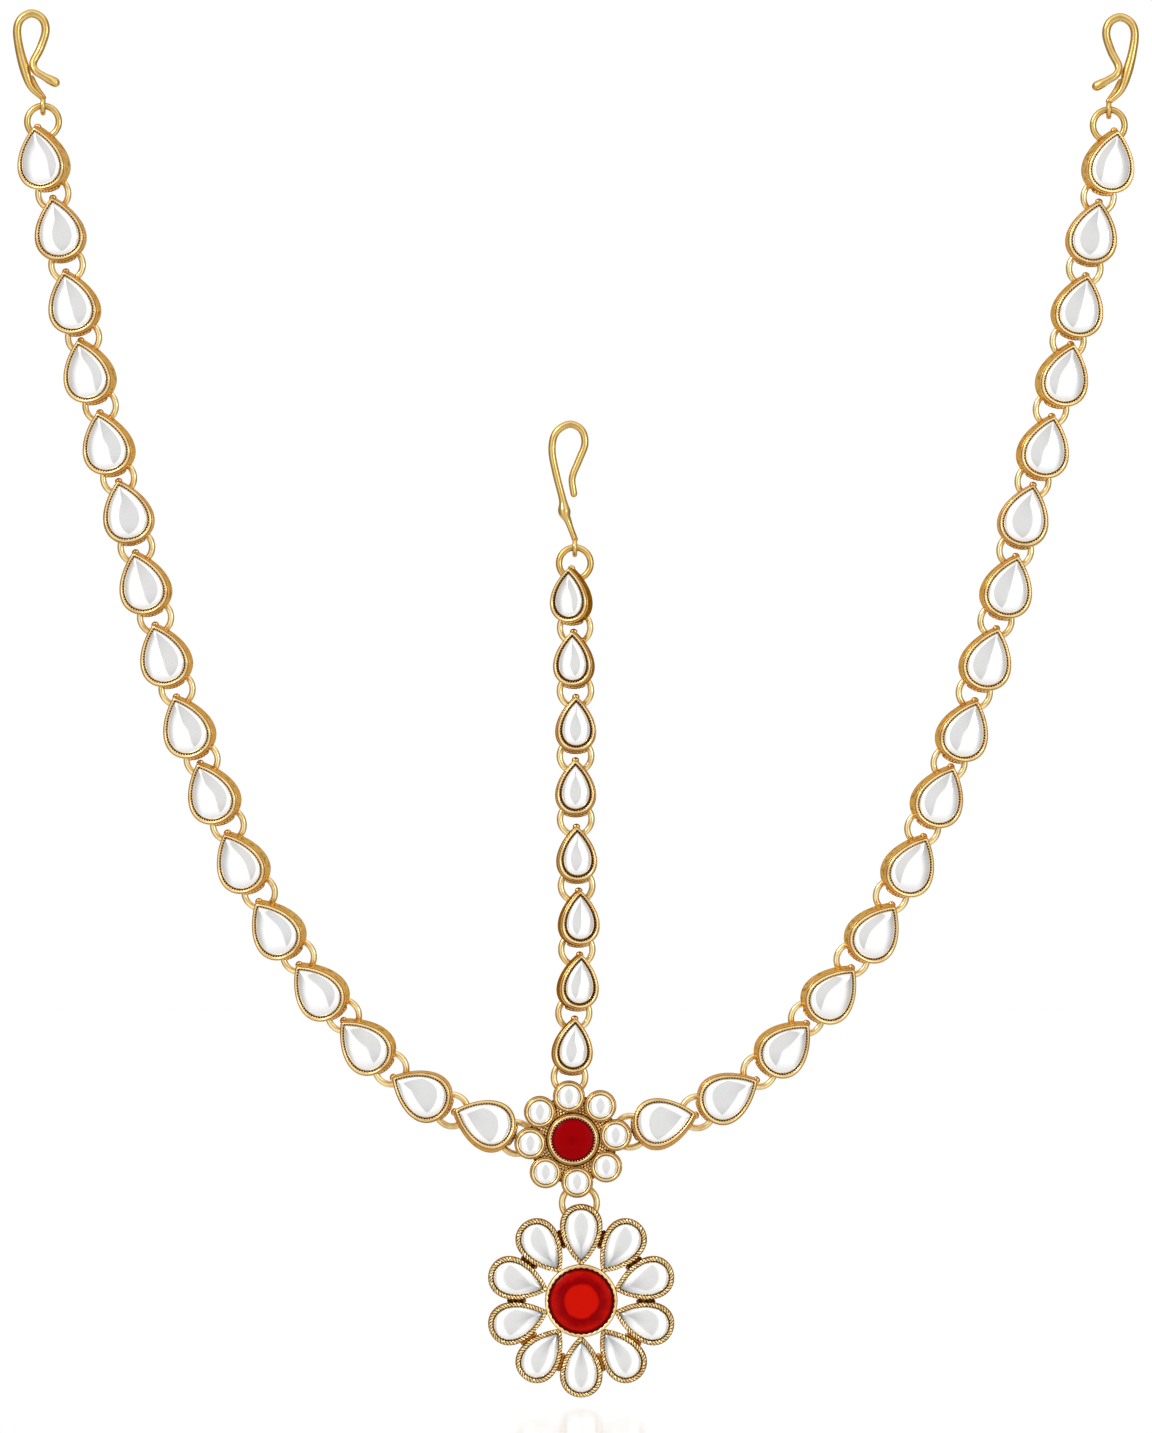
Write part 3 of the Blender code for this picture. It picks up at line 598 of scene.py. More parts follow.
def add_cup(work, outline, depth, rim, engraving, flare, wall_recess, place=None):
    """A cup: back edge, engraved wall, raised line, groove, round rim and dark seat; the groove, wall and seat
    are drawn dark with patina and painted shade.

    Gives back how far in from the outline its rim ends.
    """
    shoulder = depth - SHOULDER
    rows = [Row(0.1 * MM, 0.0, 0.1), Row(0.0, 0.1 * MM, 0.35)]
    for share in (0.08, 0.5, 0.92):
        rows.append(Row(flare * share, 0.12 * MM + (shoulder - 0.22 * MM) * share, wall_recess, engraving))
    for angle in half_turn(4):
        rows.append(Row(flare + EDGE_LINE * (1 - cos(angle)), shoulder + EDGE_LINE * sin(angle), 0.3))
    rows.append(Row(flare + EDGE_LINE * 2 + 0.02 * MM, shoulder - 0.02 * MM, 0.6))
    start = flare + EDGE_LINE * 2 + 0.04 * MM
    for step, angle in enumerate(half_turn(8)):
        inset = start + rim / 2 * (1 - cos(angle))
        rows.append(Row(inset, depth - RIM_RISE + RIM_RISE * sin(angle), 0.6 if step == 8 else 0.0))
    inner = start + rim
    rows.append(Row(inner + 0.02 * MM, depth - SEAT_DEPTH, 1.0))
    rows.append(Row(inner + 0.4 * MM, depth - SEAT_DEPTH - 0.02 * MM, 1.0))
    work.profile(outline, rows, place)
    return inner


def add_round_cup(work, outline, cup, place):
    return add_cup(work, outline, cup.depth, cup.rim, cup.engraving, ROUND_FLARE, ROUND_RECESS, place)


def add_stone(work, outline, inset, seat, rise, place=None, tip_shade=0.0):
    """A smooth white stone: its edge at the inset, its crown towards the outline's heart, its edge rings and its
    tip painted grey as shade.
    """
    x, z = outline(inset)
    edge = np.column_stack([x, z])
    tip_start = np.quantile(z, 0.66)
    near_tip = np.clip((z - tip_start) / (z.max() - tip_start), 0, 1) ** 1.5
    rings = [np.column_stack([x, np.full(len(x), -(seat - 0.12 * MM)), z])]
    shades = [np.full(len(x), 1.0)]
    # The two outer rings are painted grey as shade, and the tip as far as tip_shade says
    edge_shades = {0: 0.7, 1: 0.12}
    for step in range(STONE_STEPS + 1):
        share = max(cos(pi / 2 * step / STONE_STEPS), 0.02)
        ring = outline.heart + (edge - outline.heart) * share
        height = seat + rise * (1 - share**2.3) ** (1 / 2.1)
        rings.append(np.column_stack([ring[:, 0], np.full(len(x), -height), ring[:, 1]]))
        shades.append(np.maximum(edge_shades.get(step, 0.0), near_tip * tip_shade * share**1.6))
    work.rings(rings, np.concatenate(shades), 0.0, place)


def add_torus(work, radius, wire, place, around=48, section=12):
    rings = []
    for i in range(around):
        turn = 2 * pi * i / around
        out = np.array([sin(turn), 0, cos(turn)])
        ring = []
        for j in range(section):
            angle = 2 * pi * j / section
            up = np.array([0, wire / 2 * sin(angle), 0])
            ring.append(out * (radius + wire / 2 * cos(angle)) + up)
        rings.append(ring)
    work.rings(rings, 0.0, 0.0, place, closed=True)


def add_wire(work, path, widths, recess=0.0, place=None, section=10):
    """A round wire along a path, its ends rounded off."""
    path, widths = [Vector(p) for p in path], list(widths)
    for end in (0, -1):
        tip, ahead = path[end].copy(), (path[end] - path[1 if end == 0 else -2]).normalized()
        half = widths[end] / 2
        for step in (0.5, 0.87, 0.99):
            at = 0 if end == 0 else len(path)
            path.insert(at, tip + ahead * half * step)
            widths.insert(at, 2 * half * sqrt(1 - step**2))
    rings = []
    side = None
    for i, spot in enumerate(path):
        ahead = (path[min(i + 1, len(path) - 1)] - path[max(i - 1, 0)]).normalized()
        if side is None:
            side = ahead.orthogonal().normalized()
        side = (side - ahead * side.dot(ahead)).normalized()
        over = ahead.cross(side)
        ring = []
        for j in range(section):
            angle = 2 * pi * j / section
            ring.append(spot + (side * cos(angle) + over * sin(angle)) * widths[i] / 2)
        rings.append(ring)
    if np.ndim(recess):
        recess = [recess[0]] * 3 + list(recess) + [recess[-1]] * 3
    work.rings([[tuple(p) for p in ring] for ring in rings], recess, 0.0, place)


def smooth_path(points, steps):
    """A smooth curve through rows of numbers, with a number of steps between each two."""
    points = np.asarray(points, float)
    ends = np.vstack([2 * points[0] - points[1], points, 2 * points[-1] - points[-2]])
    path = []
    for i in range(1, len(ends) - 2):
        before, start, end, after = ends[i - 1 : i + 3]
        for t in np.arange(steps) / steps:
            bend = (2 * before - 5 * start + 4 * end - after) * t**2
            twist = (3 * start - before - 3 * end + after) * t**3
            path.append((2 * start + (end - before) * t + bend + twist) / 2)
    path.append(points[-1])
    return np.array(path)


def add_blob(work, place, size, recess=0.0, engraving=0.0, subdivisions=2):
    """A rounded lump of solder."""
    blob = bmesh.new()
    bmesh.ops.create_icosphere(blob, subdivisions=subdivisions, radius=1.0)
    points = [v.co.copy() for v in blob.verts]
    faces = [[v.index for v in f.verts] for f in blob.faces]
    blob.free()
    work.add(points, faces, recess, engraving, place @ Matrix.Diagonal((*size, 1)))


# Geometry node trees


def new_tree(name, inputs):
    """A geometry tree with a material and other named inputs, and its input and output nodes."""
    tree = bpy.data.node_groups.new(name, "GeometryNodeTree")
    for label, kind in {"Geometry": "Geometry", **inputs, "Material": "Material"}.items():
        tree.interface.new_socket(label, in_out="INPUT", socket_type=f"NodeSocket{kind}")
    tree.interface.new_socket("Geometry", in_out="OUTPUT", socket_type="NodeSocketGeometry")
    return tree, tree.nodes.new("NodeGroupInput").outputs, tree.nodes.new("NodeGroupOutput")


def finish_tree(tree, geometry, material, out):
    """Realizes what the tree made and gives it its material."""
    real = add_node(tree, "GeometryNodeRealizeInstances", {"Geometry": geometry}).outputs["Geometry"]
    painted = add_node(tree, "GeometryNodeSetMaterial", {"Geometry": real, "Material": material})
    feed(tree, out, {"Geometry": painted.outputs["Geometry"]})


def even_curve(tree, mesh, count):
    """The curve of a closed edge, with evenly spaced points."""
    curve = add_node(tree, "GeometryNodeMeshToCurve", {"Mesh": mesh}).outputs["Curve"]
    return add_node(tree, "GeometryNodeResampleCurve", {"Curve": curve, "Count": count}).outputs["Curve"]


def stamping_tree():
    """Puts a finished piece on each seat, turned as the seat's turn attribute says."""
    tree, into, out = new_tree("Stamp on seats", {"Piece": "Object"})
    piece = add_node(tree, "GeometryNodeObjectInfo", {"Object": into["Piece"], "As Instance": True})
    turn = add_node(tree, "GeometryNodeInputNamedAttribute", {"Name": "turn"}, data_type="FLOAT_VECTOR")
    euler = add_node(tree, "FunctionNodeEulerToRotation", {"Euler": turn.outputs["Attribute"]})
    inputs = {
        "Points": into["Geometry"],
        "Instance": piece.outputs["Geometry"],
        "Rotation": euler.outputs["Rotation"],
    }
    stamps = add_node(tree, "GeometryNodeInstanceOnPoints", inputs)
    finish_tree(tree, stamps.outputs["Instances"], into["Material"], out)


def milling_tree():
    """Sets small teeth evenly along an edge."""
    tree, into, out = new_tree("Milled edge", {"Teeth": "Int", "Tooth size": "Vector"})
    tooth = add_node(tree, "GeometryNodeMeshUVSphere", {"Segments": 6, "Rings": 4, "Radius": 1.0})
    along = tree.nodes.new("GeometryNodeInputTangent").outputs["Tangent"]
    align = add_node(tree, "FunctionNodeAlignRotationToVector", {"Vector": along}, axis="X")
    inputs = {
        "Points": even_curve(tree, into["Geometry"], into["Teeth"]),
        "Instance": tooth.outputs["Mesh"],
        "Rotation": align.outputs["Rotation"],
        "Scale": into["Tooth size"],
    }
    teeth = add_node(tree, "GeometryNodeInstanceOnPoints", inputs)
    finish_tree(tree, teeth.outputs["Instances"], into["Material"], out)


def rope_tree():
    """Lays a wire of two twisted strands along an edge."""
    tree, into, out = new_tree("Twisted wire", {"Turns": "Float", "Strand": "Float", "Steps": "Int"})
    even = even_curve(tree, into["Geometry"], into["Steps"])
    share = tree.nodes.new("GeometryNodeSplineParameter").outputs["Factor"]
    along = tree.nodes.new("GeometryNodeInputTangent").outputs["Tangent"]
    normal = tree.nodes.new("GeometryNodeInputNormal").outputs["Normal"]
    across = vector_maths(tree, "CROSS_PRODUCT", {0: along, 1: normal})
    turned = times(tree, times(tree, share, into["Turns"]), 2 * pi)
    half = times(tree, into["Strand"], 0.5)
    section = add_node(tree, "GeometryNodeCurvePrimitiveCircle", {"Resolution": 6, "Radius": half})
    joined = tree.nodes.new("GeometryNodeJoinGeometry")
    for phase in (0.0, pi):
        angle = plus(tree, turned, phase)
        out_share = times(tree, maths(tree, "COSINE", angle), half)
        up_share = times(tree, maths(tree, "SINE", angle), half)
        sideways = vector_maths(tree, "SCALE", {0: normal, "Scale": out_share})
        upwards = vector_maths(tree, "SCALE", {0: across, "Scale": up_share})
        offset = vector_maths(tree, "ADD", {0: sideways, 1: upwards})
        wound = add_node(tree, "GeometryNodeSetPosition", {"Geometry": even, "Offset": offset})
        inputs = {"Curve": wound.outputs["Geometry"], "Profile Curve": section.outputs["Curve"]}
        strand = add_node(tree, "GeometryNodeCurveToMesh", inputs)
        tree.links.new(strand.outputs["Mesh"], joined.inputs["Geometry"])
    finish_tree(tree, joined.outputs["Geometry"], into["Material"], out)


def run_tree(name, source, material, values):
    """The plain mesh that a tree makes from a mesh, in a material."""
    tree = bpy.data.node_groups[name]
    values = {**values, "Material": bpy.data.materials[material]}
    holder = new_object(source.name, source)
    modifier = holder.modifiers.new(name, "NODES")
    modifier.node_group = tree
    for item in tree.interface.items_tree:
        if item.item_type == "SOCKET" and item.in_out == "INPUT" and item.name in values:
            modifier[item.identifier] = values[item.name]
    bpy.context.view_layer.update()
    shown = holder.evaluated_get(bpy.context.evaluated_depsgraph_get())
    mesh = bpy.data.meshes.new_from_object(shown)
    bpy.data.objects.remove(holder, do_unlink=True)
    if not mesh.polygons:
        raise RuntimeError(f"{name} made nothing")
    return mesh


def edge_mesh(outline, inset, height):
    """A closed line round an outline, for teeth or twisted wire to follow."""
    x, z = outline(inset)
    mesh = bpy.data.meshes.new("edge")
    count = len(x)
    points = [(x[i], -height, z[i]) for i in range(count)]
    mesh.from_pydata(points, [(i, (i + 1) % count) for i in range(count)], [])
    return mesh


def seats_mesh(seats):
    """One point for each seat, with the turn of the piece that stands there."""
    mesh = bpy.data.meshes.new("seats")
    mesh.from_pydata([seat.to_translation() for seat in seats], [], [])
    turns = [value for seat in seats for value in seat.to_euler("XYZ")]
    mesh.attributes.new("turn", "FLOAT_VECTOR", "POINT").data.foreach_set("vector", turns)
    return mesh


# Finished pieces


def stamped(name, mesh, seats, material, body):
    """A finished piece: one mesh stamped on every seat, riding its body."""
    pattern = new_object(f"{name}_pattern", mesh)
    result = run_tree("Stamp on seats", seats_mesh(seats), material, {"Piece": pattern})
    result.name = name
    bpy.data.objects.remove(pattern, do_unlink=True)
    return finished(name, result, material, body)


def finished(name, mesh, material, body):
    if not mesh.materials:
        mesh.materials.append(bpy.data.materials[material])
    piece = new_object(name, mesh)
    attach(piece, body)
    return piece


def add_teeth(work, outline, inset, height, pitch, size, place=None, recess=0.0):
    """Milled teeth along an outline, as part of the work."""
    count = max(8, round((outline.around - 2 * pi * inset) / pitch))
    edge = edge_mesh(outline, inset, height)
    teeth = run_tree("Milled edge", edge, "antique_gold", {"Teeth": count, "Tooth size": size})
    work.add_mesh(teeth, recess, place)


def add_rope(work, outline, inset, height, pitch, strand):
    """Two twisted strands along an outline, painted darker in the groove between them as shade."""
    turns = round((outline.around - 2 * pi * inset) / pitch)
    values = {"Turns": float(turns), "Strand": strand, "Steps": turns * ROPE_STEPS}
    edge = edge_mesh(outline, inset, height)
    rope = run_tree("Twisted wire", edge, "antique_gold", values)
    x, z = outline(inset)
    between = 8
    middle = KDTree(len(x) * between)
    for i in range(len(x)):
        for step in range(between):
            j, t = (i + 1) % len(x), step / between
            spot = (x[i] + (x[j] - x[i]) * t, -height, z[i] + (z[j] - z[i]) * t)
            middle.insert(spot, i * between + step)
    middle.balance()
    far = np.array([middle.find(v.co)[2] for v in rope.vertices])
    # Painted shade: points near the middle line between the strands are darker
    work.add_mesh(rope, np.clip((0.78 - far / strand) * 3.6, 0, 1))


def add_tip_loop(work, place):
    """The small wire loop soldered on a back, round the next ring's wire; the back is the plane Y = 0."""
    path = [(0, LOOP_RISE * sin(a) ** 0.8, LOOP_HALF * cos(a)) for a in half_turn(12)]
    add_wire(work, path, [LOOP_WIRE] * len(path), 0.35, place)


def add_solder_bar(work, length):
    """The rough strip of solder that shows between the ring's sides below the round end."""
    path, widths, recess = [], [], []
    for step in range(13):
        across = (step / 6 - 1) * 1.55 * MM
        path.append((across, -0.55 * MM, -length - 0.02 * MM + across**2 / (8 * MM)))
        widths.append((0.66 if step % 2 else 0.52) * MM)
        recess.append(0.25 if step % 2 else 0.55)
    add_wire(work, path, widths, recess)


def drop_meshes(drop, sizes):
    """The metal and the stone of one drop link, tip at the origin of its flat back."""
    outline = pear_outline(drop.length, drop.width, 72)
    metal, stone = Work(), Work()
    rim = sizes.rim_width
    inner = add_cup(metal, outline, drop.depth, rim, DROP_ENGRAVING, DROP_FLARE, drop.wall_recess)
    inset, height = inner - 0.04 * MM, drop.depth - 0.3 * MM
    add_teeth(metal, outline, inset, height, sizes.tooth_pitch, DROP_TOOTH, None, drop.tooth_recess)
    ring_down = drop.length + drop.gap / 2
    add_torus(metal, RING_RADIUS, RING_WIRE, Matrix.Translation((0, STANDOFF, -ring_down)))
    near = RING_RADIUS - ring_down
    # The wire to the ring and the loop behind the cup are drawn darker, patina with painted shade
    add_wire(metal, [(0, 0, near), (0, STANDOFF, near)], [0.9 * MM, 0.8 * MM], 0.6)
    add_tip_loop(metal, Matrix.Translation((0, 0, drop.gap / 2 - RING_RADIUS)))
    add_solder_bar(metal, drop.length)
    nub = Matrix.Translation((0, -0.75 * MM, -0.22 * MM))
    add_blob(metal, nub, (0.62 * MM, 0.5 * MM, 0.5 * MM), 0.3)
    seat = drop.depth - SEAT_DEPTH
    add_stone(stone, outline, inner + drop.seat, seat, sizes.stone_rise, None, DROP_TIP_SHADE)
    return metal.mesh("drop_metal"), stone.mesh("drop_stone", 80)


def turned_further(seat):
    """A seat turned about its length, through the middle of its ring's wire, with its face further round."""
    face = -seat.col[1].to_3d()
    turn = atan2(face.x, -face.y) * FURTHER_TURN
    axis = Matrix.Translation((0, STANDOFF, 0))
    return seat @ axis @ Matrix.Rotation(turn, 4, "Z") @ axis.inverted()


def add_drops(name, nodes, drop, context):
    metal, stone = drop_meshes(drop, context.scene.jewel_sizes)
    seats = [turned_further(seat_of(node)) for node in nodes]
    cups = stamped(f"{name}_cups", metal, seats, "antique_gold", CHAINS)
    stamped(f"{name}_stones", stone, seats, "milky_glass", CHAINS)
    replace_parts(cups, *nodes)


class JEWEL_OT_materials(bpy.types.Operator):
    """Mix the gilding, the milky glass and the two reds"""

    bl_idname = "jewel.materials"
    bl_label = "Materials"

    def execute(self, context):
        colours = context.scene.jewel_colours
        gilding = gilding_group()
        gold_material("antique_gold", gilding, colours.gold, colours, CUP_GRAINS, 0.4)
        gold_material("granulated_gold", gilding, colours.gold, colours, PLATE_GRAINS, 0.6)
        gold_material("wire_gold", gilding, colours.wire_gold, colours, CUP_GRAINS, 0.4)
        white_material("milky_glass", colours, 0.04)
        white_material("petal_glass", colours, 0.17)
        red_material("ruby_glass", colours.ruby, RUBY_DEEP, RUBY_EDGE_SHADE)
        red_material("red_glass", colours.bright_red, RED_DEEP, RED_EDGE_SHADE)
        stamping_tree()
        milling_tree()
        rope_tree()
        return {"FINISHED"}


class JEWEL_OT_arms(bpy.types.Operator):
    """Finish the drop links of both arms"""

    bl_idname = "jewel.arms"
    bl_label = "Arms"

    def execute(self, context):
        for side, nodes in ARM_NODES.items():
            add_drops(f"{side}_arm", nodes, SIDE_DROP, context)
        return {"FINISHED"}


class JEWEL_OT_centre_chain(bpy.types.Operator):
    """Finish the drop links of the centre chain"""

    bl_idname = "jewel.centre_chain"
    bl_label = "Centre chain"

    def execute(self, context):
        add_drops("centre_chain", CENTRE_NODES, CENTRE_DROP, context)
        return {"FINISHED"}


class JEWEL_OT_hooks(bpy.types.Operator):
    """Bend the three wire hooks and the loose rings"""

    bl_idname = "jewel.hooks"
    bl_label = "Hooks and loose rings"

    def execute(self, context):
        for node in HOOK_NODES + LOOSE_RING_NODES:
            work = Work()
            if node in HOOK_NODES:
                add_hook(work, node)
            else:
                add_torus(work, RING_RADIUS, RING_WIRE, Matrix.Translation(middle_of(node)))
            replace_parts(finished(f"{node}_wire", work.mesh(node), "wire_gold", CHAINS), node)
        return {"FINISHED"}


def add_hook(work, node):
    """A bent wire hook with its eye, over the solid's place."""
    corners, *_ = triangles_of(node)
    low = corners[:, 2].min()
    foot = corners[corners[:, 2] < low + 0.4 * MM]
    eye = Vector((foot[:, 0].mean(), 0, low + EYE_RADIUS + EYE_WIRE / 2))
    flip = (-1 if node.startswith("right") else 1, 1, 1)
    centre = node.startswith("centre")
    rows = smooth_path(CENTRE_HOOK if centre else SIDE_HOOK, 8) * MM
    stem = smooth_path(CENTRE_STEM if centre else SIDE_STEM, 6) * MM
    place = Matrix.Translation(eye)
    add_wire(work, rows[:, [0, 2, 1]] * flip, rows[:, 3], 0.0, place, 14)
    add_wire(work, stem[:, [0, 2, 1]] * flip, [STEM_WIRE] * len(stem), 0.1, place)
    add_torus(work, EYE_RADIUS, EYE_WIRE, place @ Matrix.Rotation(pi / 2, 4, "Z"), 32, 10)


def around(middle, turn, count, offset=0.0):
    """Places round a circle about Y, each with +Z away from the middle."""
    start = Matrix.Translation(middle) @ Matrix.Rotation(turn, 4, "Y")
    return [start @ Matrix.Rotation(2 * pi * (i + offset) / count, 4, "Y") for i in range(count)]


class JEWEL_OT_flower(bpy.types.Operator):
    """Finish the flower: its round stones, granulated plate, toothed middle cup and ruby"""

    bl_idname = "jewel.flower"
    bl_label = "Flower"

    def execute(self, context):
        middle = middle_of("flower_red_stone")
        middle.y = -STANDOFF
        place = Matrix.Translation(middle) @ Matrix.Rotation(FLOWER_TURN, 4, "Y")
        metal, stones, plate, ruby = Work(), Work(), Work(), Work()
        outline = round_outline(FLOWER_CUP.radius, 40)
        out = Matrix.Translation((0, 0, FLOWER_CIRCLE))
        for seat in around(middle, FLOWER_TURN, FLOWER_CUPS):
            inset = add_round_cup(metal, outline, FLOWER_CUP, seat @ out) + 0.03 * MM
            add_stone(stones, outline, inset, FLOWER_STONE_SEAT, FLOWER_STONE_RISE, seat @ out)
        # Solder lumps in the notches between the cups, drawn dark with patina and painted shade
        for seat in around(middle, FLOWER_TURN, FLOWER_CUPS, 0.5):
            spot = seat @ Matrix.Translation((0, -1.2 * MM, 6.2 * MM))
            add_blob(metal, spot, (0.36 * MM, 0.9 * MM, 0.7 * MM), ROUND_RECESS, 0.3, 3)
        bezel = round_outline(FLOWER_BEZEL.radius, 72)
        inner = add_round_cup(metal, bezel, FLOWER_BEZEL, place)
        height = FLOWER_BEZEL.depth - 0.24 * MM
        add_teeth(metal, bezel, inner - 0.02 * MM, height, BEZEL_TOOTH_PITCH, BEZEL_TOOTH, place)
        for quarter, reach in enumerate(FLOWER_LOOPS):
            spot = place @ Matrix.Rotation(quarter * pi / 2, 4, "Y")
            add_tip_loop(metal, spot @ Matrix.Translation((0, 0, reach)))
        # The plate's floor under the granules is drawn dark, patina with painted shade
        sides = ((0.0, 0.15), (0.0, 0.9), (0.3, 1.1))
        rows = [Row(inset * MM, height * MM, 0.35, 0.6) for inset, height in sides]
        plate.profile(round_outline(PLATE_RADIUS, 48), rows, place)
        for radius in PLATE_CIRCLES:
            add_teeth(plate, round_outline(radius, 96), 0.0, 1.35 * MM, 0.5 * MM, PLATE_GRAIN, place)
        setting = finished("flower_cups", metal.mesh("flower_cups"), "antique_gold", CHAINS)
        finished("flower_plate", plate.mesh("flower_plate"), "granulated_gold", CHAINS)
        finished("flower_stones", stones.mesh("flower_stones", 80), "petal_glass", CHAINS)
        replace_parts(setting, "flower_setting")
        add_red_dome(ruby, FLOWER_BEZEL.radius - inner, place)
        stone = finished("flower_ruby", ruby.mesh("flower_ruby", 80), "ruby_glass", CHAINS)
        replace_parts(stone, "flower_red_stone")
        return {"FINISHED"}


def add_red_dome(work, radius, place):
    """A smooth round stone with a low crown, its edge painted dark and its heart and the band near its edge
    painted deeper red, as shade.
    """
    rows = [Row(0.0, RUBY_SEAT - 0.8 * MM, 1.0), Row(0.0, RUBY_SEAT, 1.0)]
    for step in range(1, 15):
        angle = pi / 2 * step / 14
        share = cos(angle)
        # Painted shade: a dark rim, and a deeper red at the heart and near the edge
        dark = max(0.0, 1.0 - (radius * (1 - share)) / (0.5 * MM))
        heart = 0.9 * max(0.0, 1 - share / 0.45) + 0.7 * max(0.0, (share - 0.7) / 0.3)
        height = RUBY_SEAT + RUBY_RISE * sin(angle)
        rows.append(Row(radius * (1 - max(share, 0.01)), height, dark, heart))
    work.profile(round_outline(radius, 64), rows, place)


class JEWEL_OT_pendant(bpy.types.Operator):
    """Finish the pendant: ten roped petals, their solder, the scalloped cup and the cut stone"""

    bl_idname = "jewel.pendant"
    bl_label = "Pendant"

    def execute(self, context):
        middle = middle_of("pendant_red_stone")
        middle.y = -STANDOFF
        place = Matrix.Translation(middle)
        metal, stone = petal_meshes(context.scene.jewel_sizes)
        tip_in = Matrix.Translation((0, 0, PETAL_TIP_RADIUS)) @ Matrix.Rotation(pi, 4, "Y")
        seats = [seat @ tip_in for seat in around(middle, 0.0, PETALS)]
        petals = stamped("pendant_petals", metal, seats, "antique_gold", PENDANT)
        stamped("pendant_stones", stone, seats, "petal_glass", PENDANT)
        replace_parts(petals, "pendant_setting")
        heart = Work()
        add_scalloped_cup(heart, place)
        for seat in around(middle, 0.0, PETALS, 0.5):
            # Painted shade: the webs on the upper half darker than those on the lower
            add_web(heart, seat, 0.8 if seat.col[2].z > -0.2 else 0.45)
        hinge = frame["joints"][0]["pos_m"]
        add_tip_loop(heart, Matrix.Translation((hinge[0], -STANDOFF, hinge[2])))
        finished("pendant_bezel", heart.mesh("pendant_bezel"), "antique_gold", PENDANT)
        gem = Work()
        add_cut_stone(gem, place)
        cut = finished("pendant_gem", gem.mesh("pendant_gem", 4), "red_glass", PENDANT)
        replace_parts(cut, "pendant_red_stone")
        ring = Work()
        add_torus(ring, PENDANT_RING_RADIUS, RING_WIRE, Matrix.Translation(middle_of("pendant_ring")))
        hung = finished("pendant_ring_wire", ring.mesh("pendant_ring_wire"), "antique_gold", CHAINS)
        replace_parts(hung, "pendant_ring")
        return {"FINISHED"}


def petal_meshes(sizes):
    """The roped metal and the stone of one petal, tip at the origin of its flat back."""
    outline = pear_outline(PETAL_LENGTH, PETAL_WIDTH, 80)
    metal, stone = Work(), Work()
    low = PETAL_DEPTH - 0.45 * MM
    # The wall and the seat round the stone are drawn dark, patina with painted shade
    rows = (
        Row(0.1 * MM, 0.0, 0.1),
        Row(0.0, 0.1 * MM, 0.5),
        Row(0.03 * MM, low * 0.5, 0.45, 0.6),
        Row(0.05 * MM, low, 0.3),
        Row(0.11 * MM, low + 0.06 * MM, 0.85),
        Row(0.5 * MM, low + 0.1 * MM, 1.0),
        Row(0.72 * MM, low - 0.1 * MM, 1.0),
        Row(1.2 * MM, low - 0.14 * MM, 1.0),
    )
    metal.profile(outline, rows)
    add_rope(metal, outline, ROPE_INSET, low + 0.2 * MM, sizes.rope_pitch, sizes.rope_wire)
    inset = PETAL_STONE_INSET + sizes.patina_and_shade_line
    # The petal stone's tip gets the full painted shade
    add_stone(stone, outline, inset, low - 0.05 * MM, sizes.stone_rise, None, 1.0)
    return metal.mesh("petal"), stone.mesh("petal_stone", 80)


def add_web(work, seat, darkness):
    """Dark solder between two petals where they come nearest, drawn dark as painted shade between them."""
    path, widths, recess = [], [], []
    for step in range(9):
        out = (WEB_START + WEB_LENGTH * step / 8) * MM
        path.append((0.05 * MM * (-1) ** step, -1.2 * MM, out))
        widths.append((0.5 + 0.12 * abs(step / 4 - 1) ** 2 + 0.06 * (step % 2)) * MM)
        recess.append(darkness if step % 3 else darkness * 0.75)
    add_wire(work, path, widths, recess, seat)


def add_scalloped_cup(work, place):
    """The thin cup of the cut stone, its upper edge pushed over the stone in scallops."""
    count = 216
    wave = np.abs(np.sin(np.arange(count) / count * pi * SCALLOPS))
    # Inset, height, reach of a scallop, recess and engraving; the recess draws the seat dark with patina and
    # painted shade
    table = (
        (0.1, 0.0, 0.0, 0.1, 0.0),
        (0.0, 0.1, 0.0, 0.3, 0.0),
        (0.02, 1.4, 0.0, 0.15, 0.5),
        (0.03, 2.55, 0.0, 0.1, 0.0),
        (0.1, 2.78, 0.0, 0.0, 0.0),
        (0.24, 2.88, 0.04, 0.0, 0.0),
        (0.38, 2.82, 0.12, 0.0, 0.0),
        (0.46, 2.66, 0.16, 0.4, 0.0),
        (0.5, 2.4, 0.1, 1.0, 0.0),
        (1.2, 2.2, 0.0, 1.0, 0.0),
    )
    rows = [Row((inset + reach * wave) * MM, height * MM, *looks) for inset, height, reach, *looks in table]
    work.profile(round_outline(SCALLOPED_RADIUS, count), rows, place)


def add_cut_stone(work, place):
    """A round stone with a table, cut in three rows of facets, its girdle and rings of facets painted darker as
    shade.
    """
    sides = 24
    rings, shades, tones = [], [], []
    # Turn in facets, share of the radius, height over the seat, recess and depth of the red; the recess darkens
    # the girdle and the depth darkens rings of facets, both painted shade
    table = (
        (0.0, 1.0, -0.8, 1.0, 0.5),
        (0.0, 1.0, 0.0, 1.0, 0.5),
        (0.5, 0.88, 0.3, 0.12, 0.3),
        (0.0, 0.72, 0.52, 0.0, 0.75),
        (0.5, 0.58, 0.66, 0.0, 1.0),
        (0.0, 0.46, 0.72, 0.0, 0.15),
        (0.0, 0.01, 0.74, 0.0, 0.0),
    )
    for offset, share, height, shade, tone in table:
        turn = (np.arange(sides) + offset) / sides * 2 * pi
        reach = CUT_STONE_RADIUS * share
        level = np.full(sides, -(CUT_STONE_SEAT + height * MM))
        rings.append(np.column_stack([reach * np.sin(turn), level, reach * np.cos(turn)]))
        shades.append(shade)
        tones.append(tone)
    work.rings(rings, shades, tones, place)


